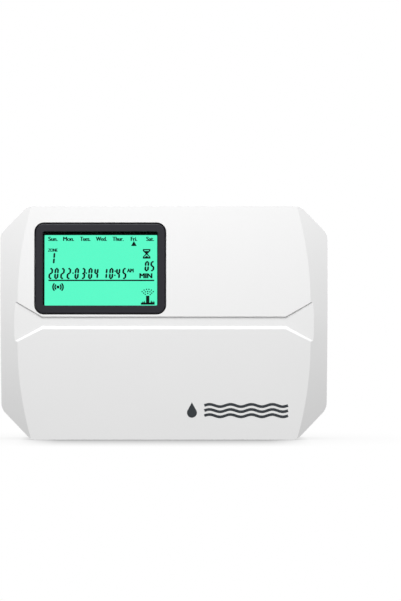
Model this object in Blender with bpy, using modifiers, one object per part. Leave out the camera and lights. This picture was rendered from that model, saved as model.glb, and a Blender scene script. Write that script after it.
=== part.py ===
"""Irrigation controller: a wall-hung sprinkler timer whose front cover swings open.

The numbers below are millimetres and the finished model is in metres. X runs to the
right and Z up. Depth is measured from the wall towards the user, so a depth of d lies
at y = -d. The origin is the middle of the back face, where it meets the wall.
"""

import math

import bmesh
import bpy
from mathutils import Matrix, Vector

MM = 0.001

# ---------------------------------------------------------------- driving dimensions
GAP = 0.3                       # air between two pieces that touch
PAST = 5.0                      # how far a cutter runs out past what it cuts

# Outline of the housing: the right-hand corners, mirrored for the left.
RIGHT_CORNERS = [(88.0, 75.4), (106.0, 57.7), (105.4, -55.6), (85.8, -75.4)]
OUTLINE = RIGHT_CORNERS + [(-x, z) for x, z in reversed(RIGHT_CORNERS)]
CORNER_RADIUS = 9.5
CORNER_STEPS = 6

# Front cover
FRONT = 46.0                    # depth of the cover's face at the waist
COVER_BACK = 12.0               # depth where the cover's walls start before its rim is cut
COVER_RIM = 20.4                # depth of the cover's open rim
COVER_WALL = 2.4
PANEL_TILT = math.radians(2.0)  # the upper and the lower face lean back by this much
UPPER_PIVOT_Z = 3.1             # the upper face has depth FRONT here
LOWER_PIVOT_Z = -4.3            # and the lower face here
FACET_EDGE_X = 94.4             # where the side facets start, at the waist
FACET_SLOPE = 0.5               # depth lost for each mm further out
FACET_WAIST_Z = 14.0            # above this the facet's inner edge curves inwards
FACET_BOW = 8.7                 # by this much, at the height below
FACET_BOW_SPAN = 61.4
FACET_SLICES = (26.0, 38.0, 50.0, 62.0, 74.0)

# Shallow bow-tie recess across the waist of the cover
RECESS_DEPTH = 1.1
RECESS_FLAT_X = 78.5            # the recess is level out to here, then it flares
RECESS_TOP_Z = 4.2              # at the cover's face
RECESS_BOTTOM_Z = -2.0          # at the recess floor
RECESS_DRAFT = 0.9              # the upper wall leans by this much
RECESS_BEVEL = 1.9              # and the lower wall by this much
RECESS_FLARE_UP = 0.588         # rise of the upper edge for each mm past the level part
RECESS_FLARE_DOWN = 0.54
RECESS_REACH_X = 112.0

# Rear case
CASE_RIM = 20.0
CASE_WALL = 2.8
CASE_FLOOR = 2.5
CASE_INNER_RADIUS = 3.0
BOARD_POST_RADIUS = 3.2
POST_FOOT_DEPTH = 1.3           # the panel's posts start inside the floor
BOARD_POST_FOOT = 1.2           # and so do the board's
SCREW_BORE_RADIUS = 1.6
BOARD_BORE_BOTTOM = 3.5
BOARD_BORE_TOP = 15.0           # ahead of the posts
PANEL_BORE_BOTTOM = 20.0
KEYHOLE_X = 60.0
KEYHOLE_Z = 45.0
KEYHOLE_RADIUS = 4.2
KEYHOLE_SLOT = 2.2              # half width of the slot above the hole
KEYHOLE_RISE = 9.0
REAR_CABLE_HOLE = (0.0, -60.0, 30.0, 16.0)
CABLE_HOLE_RADIUS = 4.0         # corners of both cable openings
CABLE_SLOT_X = 20.0             # half length of the slot in the bottom wall
CABLE_SLOT_DEPTH = (5.0, 17.0)
CABLE_SLOT_CUT_Z = (-80.0, -65.0)

# Grommet in the slot, by the air or rubber it leaves all round
GROMMET_SLACK = 0.3
GROMMET_WALL = 2.1
GROMMET_LIP = (2.0, 1.6)        # how far the lip overlaps the slot, along and across
GROMMET_SLEEVE_Z = (-75.2, -71.8)
GROMMET_LIP_Z = (-72.2, -71.0)

# Relief in the case wall that the cover's hinge edge swings through, in (x, depth)
SWING_RELIEF = [(-109.0, 13.3), (-101.6, 17.5), (-98.5, 17.5), (-98.5, 26.0), (-109.0, 26.0)]
SWING_RELIEF_Z = (-60.0, 64.0)

# Springy tongue on the right wall that the cover snaps over, in (x, depth)
CATCH_TONGUE = [(98.4, 1.4), (104.0, 1.4), (104.0, 16.0), (102.0, 18.0), (102.0, 23.0),
                (102.7, 24.0), (101.6, 27.0), (100.0, 27.0), (100.0, 6.0)]
CATCH_TONGUE_Z = (-9.0, 9.0)

# Hinge along the left edge
HINGE_X = -102.5
HINGE_DEPTH = 21.5
BEAD_RADIUS = 3.5
BEAD_Z = (-57.0, 62.0)
EAR_RADIUS = 2.8
EAR_NECK = 0.8                  # half width
EAR_FOOT = 2.5
EAR_FOOT_DEPTH = (1.5, 14.5)
EAR_NECK_DEPTH = 16.2
PIN_RADIUS = 1.0
PIN_HOLE_RADIUS = 1.2
EAR_HEIGHT = 4.0
EAR_GAP = 0.4
NOTCH_X = (-109.0, HINGE_X + BEAD_RADIUS + 0.5)
NOTCH_DEPTH = (15.0, HINGE_DEPTH + 3.7)
PIN_BORE_REACH = 5.0            # half length of the cover's bore
EAR_BORE_REACH = 2.0            # how far the bore runs out past the ears
HINGES = {"hinge_pin_upper": (34.0, 50.0), "hinge_pin_lower": (-46.0, -30.0)}

# Inner panel, fixed to the case under the cover
PANEL_INSET = 7.5
PANEL_FRONT = 34.0
PANEL_THICKNESS = 2.2
PANEL_SKIRT = 1.5
PANEL_BACK_RIM = 21.0
PANEL_BOTTOM_Z = -20.0
PANEL_CORNER_RADIUS = 3.0
SHELF_X = OUTLINE[1][0] - PANEL_INSET - 0.6
SHELF_Z = (-31.0, -19.0)        # the shelf over the terminals
SHELF_DEPTH = (20.0, 22.0)
POST_X = 91.5
POST_Z = (-10.0, 50.0)
POST_RADIUS = 3.5
SCREW_HOLE_RADIUS = 1.7

# Display, in a pod that stands in the cover's window
DISPLAY_X = -41.15
DISPLAY_Z = 35.2
BEZEL_SIZE = (83.8, 58.1)
BEZEL_RADIUS = 5.5
BEZEL_OPENING = (74.3, 47.8)
BEZEL_OPENING_RADIUS = 1.3
BEZEL_WALL = 1.6
WINDOW_GAP = 0.7
WINDOW_CUT_DEPTH = (36.0, 50.0)
POD_FRONT = 0.4                 # distances below the cover's upper face
POD_BACK = 14.0
BEZEL_LIP_BACK = 2.4
LENS_SIZE = (78.0, 51.5)
LENS_RADIUS = 1.5
LENS_BELOW = (2.7, 4.2)
LCD_SIZE = (79.0, 53.0)
LCD_RADIUS = 2.0
LCD_BELOW = (4.5, 6.3)
BACKLIGHT_SIZE = (79.0, 45.0)
BACKLIGHT_RADIUS = 1.0
BACKLIGHT_RISE = 3.5
BACKLIGHT_BELOW = (6.6, 9.0)
PIN_STRIP_Z = 10.6
PIN_STRIP_SIZE = (50.0, 2.4)
PIN_STRIP_SLACK = 2.0           # added to the panel's opening for it
PIN_STRIP_GAP = 0.5             # between it and the display
POD_PLACE = (Matrix.Translation(Vector((0, -FRONT, UPPER_PIVOT_Z)) * MM)
             @ Matrix.Rotation(-PANEL_TILT, 4, "X"))
POD_Z = (DISPLAY_Z - UPPER_PIVOT_Z) / math.cos(PANEL_TILT)

# Keys: a cross of four round an OK key
KEYS_X = 52.0
KEYS_Z = 35.0
KEY_PITCH = 18.5
KEY_SMALL_RADIUS = 5.5
KEY_LARGE_RADIUS = 7.0
KEYS = {
    "button_ok": (0, 0, KEY_LARGE_RADIUS),
    "button_up": (0, 1, KEY_SMALL_RADIUS),
    "button_down": (0, -1, KEY_SMALL_RADIUS),
    "button_left": (-1, 0, KEY_SMALL_RADIUS),
    "button_right": (1, 0, KEY_SMALL_RADIUS),
}
KEY_TOP = 36.2
KEY_EDGE = 0.9
KEY_FLANGE = (30.2, 31.5)
KEY_FLANGE_WIDTH = 1.2
KEY_STEM_RADIUS = 2.2
KEY_STEM_BOTTOM = 28.6
SWITCH_HALF = 3.0               # a tact switch is 6 mm square
SWITCH_HEIGHT = 3.4
PLUNGER_RADIUS = 1.7
PLUNGER_TOP = 4.6

# Circuit boards
MAIN_BOARD_X = 86.0
MAIN_BOARD_Z = (-42.0, 62.0)
MAIN_BOARD_DEPTH = (10.0, 11.6)
BOARD_SCREW_X = 80.0
BOARD_SCREW_Z = (-24.0, 34.0)
CONTROL_BOARD_X = 82.0
CONTROL_BOARD_Z = (5.0, 62.0)
CONTROL_BOARD_DEPTH = (20.9, 22.5)
BOARD_CORNER_RADIUS = 2.0
ON_BOARD = MAIN_BOARD_DEPTH[1] + GAP

# Components, from (x), (z) spans or centres, and heights above the board
WIFI_BOARD = ((-80.0, -54.0), 1.0, (42.0, 60.0))
WIFI_SHIELD = ((-72.0, -55.0), 3.2, (43.5, 58.5))
MICROCONTROLLER = ((8.0, 22.0), 1.6, (34.0, 48.0))
BRIDGE_RECTIFIER = ((73.0, 82.0), 5.0, (-11.0, -3.0))
STANDING_CANS = {               # x, z, radius, height, material
    "capacitor_main": (62.0, -7.0, 6.3, 16.0, "can_sleeve"),
    "capacitor_aux": (44.0, -7.0, 4.0, 12.0, "can_sleeve"),
    "power_inductor": (22.0, -7.0, 6.0, 7.0, "black_plastic"),
}
CAN_EDGE = 0.6
VARISTOR_X = -36.0
VARISTOR_Z = (-9.2, -4.8)
VARISTOR_RADIUS = 5.5
VARISTOR_EDGE = 0.6
VARISTOR_RISE = 6.0             # its middle above the board
CELL_X = -40.0
CELL_Z = 30.0
CELL_HOLDER_RADIUS = 12.0
CELL_HOLDER_HEIGHT = 5.2
CELL_POCKET_RADIUS = 10.4
CELL_FLOOR = 1.4
CELL_RADIUS = 10.0
CELL_HEIGHT = 3.2
CELL_EDGE = 0.6
FUSE_X = (-76.0, -50.0)
FUSE_Z = (-11.5, -2.5)
FUSE_HOLDER_HEIGHT = 6.0
FUSE_HOLDER_WALL = (2.0, 1.5)   # at the ends and along the sides
FUSE_HOLDER_FLOOR = 1.5
FUSE_RADIUS = 2.6
FUSE_LENGTH = 20.0
HEADER_X = 12.0
HEADER_Z = (53.0, 58.0)
HEADER_HEIGHT = 5.0
SOCKET_X = 13.0
SOCKET_Z = (52.5, 58.5)

# Pan-head screws
HEAD_HEIGHT = 2.0
HEAD_FLAT = 0.7                 # share of the radius in front of the rounding
HEAD_ROUNDING = 0.4             # share of the height
SHANK_RADIUS = 1.4
SHANK_TIP_RADIUS = 0.5
SHANK_POINT = 1.0               # length of the taper at the tip
PANEL_SCREW = (2.9, 9.0)        # head radius and shank length
BOARD_SCREW = (2.7, 7.0)

# Screw terminals
TERMINAL_PITCH = 5.08
TERMINAL_Z = (-41.5, -31.3)
TERMINAL_FRONT = 24.5
TERMINAL_MARGIN = 0.6           # plastic past the outer poles
TERMINAL_WELL_Z = -35.5
TERMINAL_WELL_RADIUS = 2.0
TERMINAL_WELL_DEPTH = 4.0
WIRE_ENTRY_X = 1.7              # half width
WIRE_ENTRY_DEPTH = (14.0, 17.6)
WIRE_ENTRY_RISE = 6.0
TERMINAL_SCREW = [(0.0, 22.6), (1.3, 22.6), (1.75, 22.1), (1.75, 20.8), (0.0, 20.8)]
TERMINAL_BLOCKS = {"power": (-62.0, 4), "valves": (-30.0, 10)}


# ---------------------------------------------------------------- scene and materials
def clear_scene():
    for old in list(bpy.data.objects):
        bpy.data.objects.remove(old, do_unlink=True)


def new_collection(name):
    collection = bpy.data.collections.new(name)
    bpy.context.scene.collection.children.link(collection)
    return collection


def make_material(name, colour, roughness, metallic=0.0):
    material = bpy.data.materials.new(name)
    material.use_nodes = True
    shader = material.node_tree.nodes["Principled BSDF"]
    shader.inputs["Base Color"].default_value = (*colour, 1.0)
    shader.inputs["Roughness"].default_value = roughness
    shader.inputs["Metallic"].default_value = metallic
    return material


clear_scene()
PARTS = new_collection("irrigation_controller")
CUTTERS = new_collection("cutters")

MATERIALS = {
    "white_abs": make_material("white_abs", (0.86, 0.86, 0.85), 0.45),
    "grey_abs": make_material("grey_abs", (0.62, 0.63, 0.64), 0.5),
    "bezel_plastic": make_material("bezel_plastic", (0.036, 0.037, 0.045), 0.5),
    "clear_lens": make_material("clear_lens", (0.9, 0.95, 0.93), 0.05),
    "lcd_green": make_material("lcd_green", (0.1, 0.9, 0.55), 0.3),
    "diffuser": make_material("diffuser", (0.9, 0.95, 0.9), 0.6),
    "black_plastic": make_material("black_plastic", (0.02, 0.02, 0.02), 0.5),
    "circuit_board": make_material("circuit_board", (0.01, 0.12, 0.05), 0.45),
    "steel": make_material("steel", (0.6, 0.6, 0.62), 0.3, 1.0),
    "key_rubber": make_material("key_rubber", (0.16, 0.2, 0.24), 0.7),
    "grommet_rubber": make_material("grommet_rubber", (0.03, 0.03, 0.03), 0.8),
    "terminal_green": make_material("terminal_green", (0.03, 0.3, 0.12), 0.5),
    "can_sleeve": make_material("can_sleeve", (0.02, 0.04, 0.12), 0.4),
    "ceramic_blue": make_material("ceramic_blue", (0.04, 0.12, 0.4), 0.5),
    "fuse_glass": make_material("fuse_glass", (0.75, 0.8, 0.8), 0.1),
}


# ---------------------------------------------------------------- outlines, in (x, z)
def rectangle(centre_x, centre_z, width, height):
    left = centre_x - width / 2
    right = centre_x + width / 2
    low = centre_z - height / 2
    high = centre_z + height / 2
    return [(left, low), (right, low), (right, high), (left, high)]


def arc(centre_x, centre_z, radius, start, end, steps):
    """Points on an arc from the start angle to the end angle, in radians."""
    angles = [start + (end - start) * step / steps for step in range(steps + 1)]
    return [(centre_x + radius * math.cos(a), centre_z + radius * math.sin(a)) for a in angles]


def circle(centre_x, centre_z, radius, steps=24):
    return arc(centre_x, centre_z, radius, 0.0, 2 * math.pi, steps)[:-1]


def rounded(corners, radius, steps=3):
    """The outline with an arc in place of each corner."""
    points = []
    for index, corner in enumerate(corners):
        here = Vector(corner)
        back = (Vector(corners[index - 1]) - here).normalized()
        ahead = (Vector(corners[(index + 1) % len(corners)]) - here).normalized()
        half_angle = back.angle(ahead) / 2
        reach = radius / math.tan(half_angle)
        centre = here + (back + ahead).normalized() * (radius / math.sin(half_angle))
        first = here + back * reach - centre
        last = here + ahead * reach - centre
        start = math.atan2(first.y, first.x)
        sweep = (math.atan2(last.y, last.x) - start + math.pi) % (2 * math.pi) - math.pi
        points += arc(centre.x, centre.y, radius, start, start + sweep, steps)
    return points


def inset(corners, distance):
    """A convex outline round the origin, moved inwards by the distance."""
    lines = []
    for start, end in zip(corners, corners[1:] + corners[:1]):
        edge = Vector(end) - Vector(start)
        normal = Vector((edge.y, -edge.x)).normalized()
        if normal.dot(Vector(start)) < 0:
            normal.negate()
        lines.append((normal, normal.dot(Vector(start)) - distance))
    points = []
    for index, (normal, level) in enumerate(lines):
        before, before_level = lines[index - 1]
        cross = before.x * normal.y - before.y * normal.x
        x = (before_level * normal.y - level * before.y) / cross
        z = (before.x * level - normal.x * before_level) / cross
        points.append((x, z))
    return points


# ---------------------------------------------------------------- solids
def add_object(name, mesh, material, collection=None):
    item = bpy.data.objects.new(name, mesh)
    (collection or PARTS).objects.link(item)
    if material:
        mesh.materials.clear()
        mesh.materials.append(MATERIALS[material])
    return item


def from_bmesh(name, solid, material):
    mesh = bpy.data.meshes.new(name)
    solid.to_mesh(mesh)
    solid.free()
    return add_object(name, mesh, material)


def block(name, x, depth, z, material=None):
    """A box from its spans in x, depth and z."""
    solid = bmesh.new()
    bmesh.ops.create_cube(solid, size=1.0)
    size = Vector((x[1] - x[0], depth[1] - depth[0], z[1] - z[0])) * MM
    centre = Vector((x[0] + x[1], -(depth[0] + depth[1]), z[0] + z[1])) * (MM / 2)
    bmesh.ops.scale(solid, vec=size, verts=solid.verts)
    bmesh.ops.translate(solid, vec=centre, verts=solid.verts)
    return from_bmesh(name, solid, material)


def extrusion(name, outlines, span, material=None, upright=False):
    """A solid from flat outlines; an outline inside another is a hole.

    The outlines are in (x, z) and the span is in depth, or, for an upright
    solid, the outlines are in (x, depth) and the span is in z.
    """
    curve = bpy.data.curves.new(name, "CURVE")
    curve.dimensions = "2D"
    curve.fill_mode = "BOTH"
    curve.extrude = (span[1] - span[0]) / 2 * MM
    for outline in outlines:
        spline = curve.splines.new("POLY")
        spline.points.add(len(outline) - 1)
        spline.use_cyclic_u = True
        for point, (across, along) in zip(spline.points, outline):
            point.co = (across * MM, (-along if upright else along) * MM, 0.0, 1.0)
    guide = bpy.data.objects.new(name + "_outline", curve)
    CUTTERS.objects.link(guide)
    middle = (span[0] + span[1]) / 2 * MM
    if upright:
        place = Matrix.Translation((0.0, 0.0, middle))
    else:
        place = Matrix.Translation((0.0, -middle, 0.0)) @ Matrix.Rotation(math.pi / 2, 4, "X")
    guide.matrix_world = place
    depsgraph = bpy.context.evaluated_depsgraph_get()
    mesh = bpy.data.meshes.new_from_object(guide.evaluated_get(depsgraph))
    solid = bmesh.new()
    solid.from_mesh(mesh)
    bmesh.ops.remove_doubles(solid, verts=solid.verts, dist=1e-6)
    bmesh.ops.transform(solid, matrix=place, verts=solid.verts)
    bmesh.ops.recalc_face_normals(solid, faces=solid.faces)
    solid.to_mesh(mesh)
    solid.free()
    bpy.data.objects.remove(guide, do_unlink=True)
    mesh.name = name
    return add_object(name, mesh, material)


def rod(name, x, depth, z, radius, material=None, steps=20):
    """A cylinder along Z, between the two heights in z."""
    solid = bmesh.new()
    bmesh.ops.create_cone(solid, cap_ends=True, segments=steps, radius1=radius * MM,
                          radius2=radius * MM, depth=(z[1] - z[0]) * MM)
    centre = Vector((x, -depth, (z[0] + z[1]) / 2)) * MM
    bmesh.ops.translate(solid, vec=centre, verts=solid.verts)
    return from_bmesh(name, solid, material)


def turned(name, profile, x, z, material, steps=16):
    """A solid of revolution about an axis along depth.

    The profile is (radius, depth) from the front of the axis, down the outer
    side, to the back of the axis.
    """
    mesh = bpy.data.meshes.new(name)
    points = [(radius * MM, 0.0, depth * MM) for radius, depth in profile]
    edges = [(i, i + 1) for i in range(len(points) - 1)]
    mesh.from_pydata(points, edges, [])
    item = add_object(name, mesh, material)
    item.location = (x * MM, 0.0, z * MM)
    item.rotation_euler = (math.pi / 2, 0.0, 0.0)
    screw = item.modifiers.new("turn", "SCREW")
    screw.axis = "Z"
    screw.steps = steps
    screw.render_steps = steps
    screw.use_merge_vertices = True
    screw.merge_threshold = 1e-6
    screw.use_smooth_shade = True
    return item


def combine(target, tool, operation):
    boolean = target.modifiers.new(tool.name, "BOOLEAN")
    boolean.object = tool
    boolean.operation = operation
    boolean.solver = "EXACT"
    if tool.name not in CUTTERS.objects:
        PARTS.objects.unlink(tool)
        CUTTERS.objects.link(tool)
    tool.hide_render = True
    tool.display_type = "WIRE"


def cut(target, *tools):
    for tool in tools:
        combine(target, tool, "DIFFERENCE")


def join(target, *tools):
    for tool in tools:
        combine(target, tool, "UNION")


def trim(item, point, normal):
    """Cut a solid along a plane and throw away the side that the normal points to."""
    solid = bmesh.new()
    solid.from_mesh(item.data)
    whole = solid.verts[:] + solid.edges[:] + solid.faces[:]
    result = bmesh.ops.bisect_plane(solid, geom=whole, plane_co=point * MM,
                                    plane_no=normal, clear_outer=True, dist=1e-7)
    rim = [part for part in result["geom_cut"] if isinstance(part, bmesh.types.BMEdge)]
    bmesh.ops.edgeloop_fill(solid, edges=rim)
    bmesh.ops.recalc_face_normals(solid, faces=solid.faces)
    solid.to_mesh(item.data)
    solid.free()


def set_origin(item, x, depth, z):
    """Move the object's origin to a point without moving its solid."""
    origin = Vector((x, -depth, z)) * MM
    item.data.transform(Matrix.Translation(-origin))
    item.location = origin


def soften(item, width, segments=2):
    bevel = item.modifiers.new("edges", "BEVEL")
    bevel.width = width * MM
    bevel.segments = segments
    bevel.limit_method = "ANGLE"
    bevel.angle_limit = math.radians(40)


# ---------------------------------------------------------------- the cover's faces
def cover_faces():
    """Point and outward normal of each plane that bounds the cover's front."""
    lean = math.tan(PANEL_TILT)
    faces = [
        (Vector((0, -FRONT, UPPER_PIVOT_Z)), Vector((0, -1, lean)).normalized()),
        (Vector((0, -FRONT, LOWER_PIVOT_Z)), Vector((0, -1, -lean)).normalized()),
    ]
    for side in (-1, 1):
        outward = Vector((side * FACET_SLOPE, -1, 0)).normalized()
        faces.append((Vector((side * FACET_EDGE_X, -FRONT, 0)), outward))
        for half in (-1, 1):
            pivot = UPPER_PIVOT_Z if half > 0 else -LOWER_PIVOT_Z
            for height in FACET_SLICES:
                bow = (height - FACET_WAIST_Z) / FACET_BOW_SPAN
                edge_x = FACET_EDGE_X - FACET_BOW * bow ** 2
                depth = FRONT - lean * (height - pivot)
                edge = Vector((-side * 2 * FACET_BOW * bow / FACET_BOW_SPAN, lean, half))
                slope = Vector((side, FACET_SLOPE, 0))
                normal = edge.cross(slope).normalized()
                if normal.y > 0:
                    normal.negate()
                faces.append((Vector((side * edge_x, -depth, half * height)), normal))
    return faces


def cover_body(name, wall):
    """The cover's outer form, or with a wall thickness the hollow inside it."""
    radius = CORNER_RADIUS - wall
    corners = rounded(inset(OUTLINE, wall), radius, CORNER_STEPS)
    body = extrusion(name, [corners], (COVER_BACK + wall, FRONT + PAST), "white_abs")
    for point, normal in cover_faces():
        trim(body, point - normal * wall, normal)
    return body


def recess_outline(upper, lower):
    """The bow tie, from the heights of its level upper and lower edges."""
    flare = RECESS_REACH_X - RECESS_FLAT_X
    top = [(RECESS_FLAT_X, upper), (RECESS_REACH_X, upper + flare * RECESS_FLARE_UP)]
    low = [(RECESS_REACH_X, lower - flare * RECESS_FLARE_DOWN), (RECESS_FLAT_X, lower)]
    right = top + low
    return right + [(-x, z) for x, z in reversed(right)]


def recess_tool():
    """The bow tie's cutter, whose upper and lower walls open out towards the front."""
    floor = FRONT - RECESS_DEPTH
    front = FRONT + PAST
    outline = recess_outline(RECESS_TOP_Z - RECESS_DRAFT, RECESS_BOTTOM_Z)
    tool = extrusion("recess_tool", [outline], (floor, front))
    growth = (front - floor) / RECESS_DEPTH
    middle = -(floor + front) / 2 * MM
    for vertex in tool.data.vertices:
        if vertex.co.y < middle:
            spread = RECESS_DRAFT if vertex.co.z > 0 else -RECESS_BEVEL
            vertex.co.z += spread * growth * MM
    return tool


def make_front_cover():
    cover = cover_body("front_cover", 0.0)
    hollow = cover_body("cover_hollow", COVER_WALL)
    backing_top = RECESS_TOP_Z + COVER_WALL
    backing_low = RECESS_BOTTOM_Z - RECESS_BEVEL - COVER_WALL
    backing_floor = FRONT - RECESS_DEPTH - COVER_WALL
    cut(hollow, extrusion("recess_backing", [recess_outline(backing_top, backing_low)],
                          (backing_floor, FRONT + 2 * PAST)))
    half_x = OUTLINE[1][0] + PAST
    half_z = OUTLINE[0][1] + PAST
    join(hollow, block("rim_tool", (-half_x, half_x), (COVER_BACK - PAST, COVER_RIM),
                       (-half_z, half_z)))
    cut(hollow, rod("hinge_bead", HINGE_X, HINGE_DEPTH, BEAD_Z, BEAD_RADIUS, steps=24))
    window = rectangle(DISPLAY_X, DISPLAY_Z, BEZEL_SIZE[0] + 2 * WINDOW_GAP,
                       BEZEL_SIZE[1] + 2 * WINDOW_GAP)
    window_tool = extrusion("window_tool", [rounded(window, BEZEL_RADIUS + WINDOW_GAP, 4)],
                            WINDOW_CUT_DEPTH)
    cut(cover, recess_tool(), hollow, window_tool)
    for name, (low, high) in HINGES.items():
        for ear_low in (low, high - EAR_HEIGHT):
            span = (ear_low - EAR_GAP, ear_low + EAR_HEIGHT + EAR_GAP)
            cut(cover, block(f"{name}_notch_{ear_low:.0f}", NOTCH_X, NOTCH_DEPTH, span))
        middle = (low + high) / 2
        bore = (middle - PIN_BORE_REACH, middle + PIN_BORE_REACH)
        cut(cover, rod(f"{name}_bore", HINGE_X, HINGE_DEPTH, bore, PIN_HOLE_RADIUS))
    set_origin(cover, HINGE_X, HINGE_DEPTH, 0.0)


# ---------------------------------------------------------------- rear case
def keyhole(centre_x):
    """A round hole with a narrower slot above it."""
    opening = math.asin(KEYHOLE_SLOT / KEYHOLE_RADIUS)
    lower = arc(centre_x, KEYHOLE_Z, KEYHOLE_RADIUS, math.pi / 2 + opening,
                math.pi * 2.5 - opening, 16)
    upper = arc(centre_x, KEYHOLE_Z + KEYHOLE_RISE, KEYHOLE_SLOT, 0.0, math.pi, 6)
    return lower + upper


def ear_outline():
    """A hinge ear in (x, depth): a round head on a neck that widens to a foot."""
    start = -math.pi + math.acos(EAR_NECK / EAR_RADIUS)
    head = arc(HINGE_X, HINGE_DEPTH, EAR_RADIUS, start, -2 * math.pi, 14)
    foot_back, foot_front = EAR_FOOT_DEPTH
    base = [(HINGE_X + EAR_RADIUS, foot_back), (HINGE_X - EAR_FOOT, foot_back),
            (HINGE_X - EAR_FOOT, foot_front), (HINGE_X - EAR_NECK, EAR_NECK_DEPTH)]
    return head + base


def on_both_sides(x, heights, radius, steps=24):
    """Circles at each height, on the left and on the right."""
    return [circle(side * x, z, radius, steps) for side in (-1, 1) for z in heights]


def make_rear_case():
    outline = rounded(OUTLINE, CORNER_RADIUS, CORNER_STEPS)
    case = extrusion("rear_case", [outline], (0.0, CASE_RIM), "white_abs")
    inner = rounded(inset(OUTLINE, CASE_WALL), CASE_INNER_RADIUS)
    cut(case, extrusion("case_hollow", [inner], (CASE_FLOOR, CASE_RIM + PAST)))
    cut(case, extrusion("cover_swing_relief", [SWING_RELIEF], SWING_RELIEF_Z, upright=True))

    board_posts = on_both_sides(BOARD_SCREW_X, BOARD_SCREW_Z, BOARD_POST_RADIUS)
    board_post_span = (BOARD_POST_FOOT, MAIN_BOARD_DEPTH[0] - GAP)
    join(case, extrusion("board_posts", board_posts, board_post_span))
    panel_posts = on_both_sides(POST_X, POST_Z, POST_RADIUS)
    panel_post_span = (POST_FOOT_DEPTH, PANEL_FRONT - PANEL_THICKNESS - GAP)
    join(case, extrusion("panel_posts", panel_posts, panel_post_span))
    for low, high in HINGES.values():
        for ear_low in (low, high - EAR_HEIGHT):
            join(case, extrusion(f"ear_{ear_low:.0f}", [ear_outline()],
                                 (ear_low, ear_low + EAR_HEIGHT), upright=True))
    join(case, extrusion("catch_tongue", [CATCH_TONGUE], CATCH_TONGUE_Z, upright=True))

    board_bores = on_both_sides(BOARD_SCREW_X, BOARD_SCREW_Z, SCREW_BORE_RADIUS, 12)
    cut(case, extrusion("board_screw_bores", board_bores, (BOARD_BORE_BOTTOM, BOARD_BORE_TOP)))
    panel_bores = on_both_sides(POST_X, POST_Z, SCREW_BORE_RADIUS, 12)
    cut(case, extrusion("panel_screw_bores", panel_bores, (PANEL_BORE_BOTTOM, PANEL_FRONT + PAST)))
    for name, (low, high) in HINGES.items():
        bore = (low - EAR_BORE_REACH, high + EAR_BORE_REACH)
        cut(case, rod(name + "_case_bore", HINGE_X, HINGE_DEPTH, bore, PIN_HOLE_RADIUS))
    cable_hole = rounded(rectangle(*REAR_CABLE_HOLE), CABLE_HOLE_RADIUS)
    back_holes = [keyhole(-KEYHOLE_X), keyhole(KEYHOLE_X), cable_hole]
    cut(case, extrusion("back_holes", back_holes, (-PAST, 2 * CASE_FLOOR)))
    slot = rounded(rectangle(*slot_rectangle()), CABLE_HOLE_RADIUS)
    cut(case, extrusion("cable_slot", [slot], CABLE_SLOT_CUT_Z, upright=True))


def slot_rectangle(grow_along=0.0, grow_across=0.0):
    """Centre and size of the bottom slot in (x, depth), grown by so much all round."""
    back, front = CABLE_SLOT_DEPTH
    return 0.0, (back + front) / 2, 2 * (CABLE_SLOT_X + grow_along), front - back + 2 * grow_across


def make_grommet():
    """A rubber edging that lines the bottom cable slot, with a lip inside."""
    sleeve = rounded(rectangle(*slot_rectangle(-GROMMET_SLACK, -GROMMET_SLACK)),
                     CABLE_HOLE_RADIUS - GROMMET_SLACK)
    passage = rounded(rectangle(*slot_rectangle(-GROMMET_WALL, -GROMMET_WALL)),
                      CABLE_HOLE_RADIUS - GROMMET_WALL)
    lip = rounded(rectangle(*slot_rectangle(*GROMMET_LIP)), CABLE_HOLE_RADIUS + GROMMET_LIP[1])
    grommet = extrusion("cable_grommet", [sleeve], GROMMET_SLEEVE_Z, "grommet_rubber",
                        upright=True)
    join(grommet, extrusion("grommet_lip", [lip], GROMMET_LIP_Z, upright=True))
    cut(grommet, extrusion("grommet_passage", [passage], CABLE_SLOT_CUT_Z, upright=True))


def make_hinge_pins():
    for name, (low, high) in HINGES.items():
        rod(name, HINGE_X, HINGE_DEPTH, (low, high), PIN_RADIUS, "steel", 16)


# ---------------------------------------------------------------- inner panel and keys
def key_positions():
    for name, (across, up, radius) in KEYS.items():
        yield name, KEYS_X + across * KEY_PITCH, KEYS_Z + up * KEY_PITCH, radius


def make_control_panel():
    outline = rounded(inset(OUTLINE, PANEL_INSET), PANEL_CORNER_RADIUS)
    panel = extrusion("control_panel", [outline], (PANEL_BACK_RIM, PANEL_FRONT), "grey_abs")
    trim(panel, Vector((0, 0, PANEL_BOTTOM_Z)), Vector((0, 0, -1)))
    inner = rounded(inset(OUTLINE, PANEL_INSET + PANEL_SKIRT), PANEL_CORNER_RADIUS - PANEL_SKIRT)
    hollow = extrusion("panel_hollow", [inner],
                       (PANEL_BACK_RIM - PAST, PANEL_FRONT - PANEL_THICKNESS))
    trim(hollow, Vector((0, 0, PANEL_BOTTOM_Z + PANEL_SKIRT)), Vector((0, 0, -1)))
    cut(panel, hollow)
    join(panel, block("terminal_shelf", (-SHELF_X, SHELF_X), SHELF_DEPTH, SHELF_Z))
    openings = [circle(x, z, radius + GAP) for _, x, z, radius in key_positions()]
    openings += on_both_sides(POST_X, POST_Z, SCREW_HOLE_RADIUS, 12)
    openings.append(rectangle(DISPLAY_X, PIN_STRIP_Z, PIN_STRIP_SIZE[0] + PIN_STRIP_SLACK,
                              PIN_STRIP_SIZE[1] + PIN_STRIP_SLACK))
    cut(panel, extrusion("panel_openings", openings,
                         (PANEL_FRONT - PANEL_THICKNESS - PAST, PANEL_FRONT + PAST)))


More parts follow.
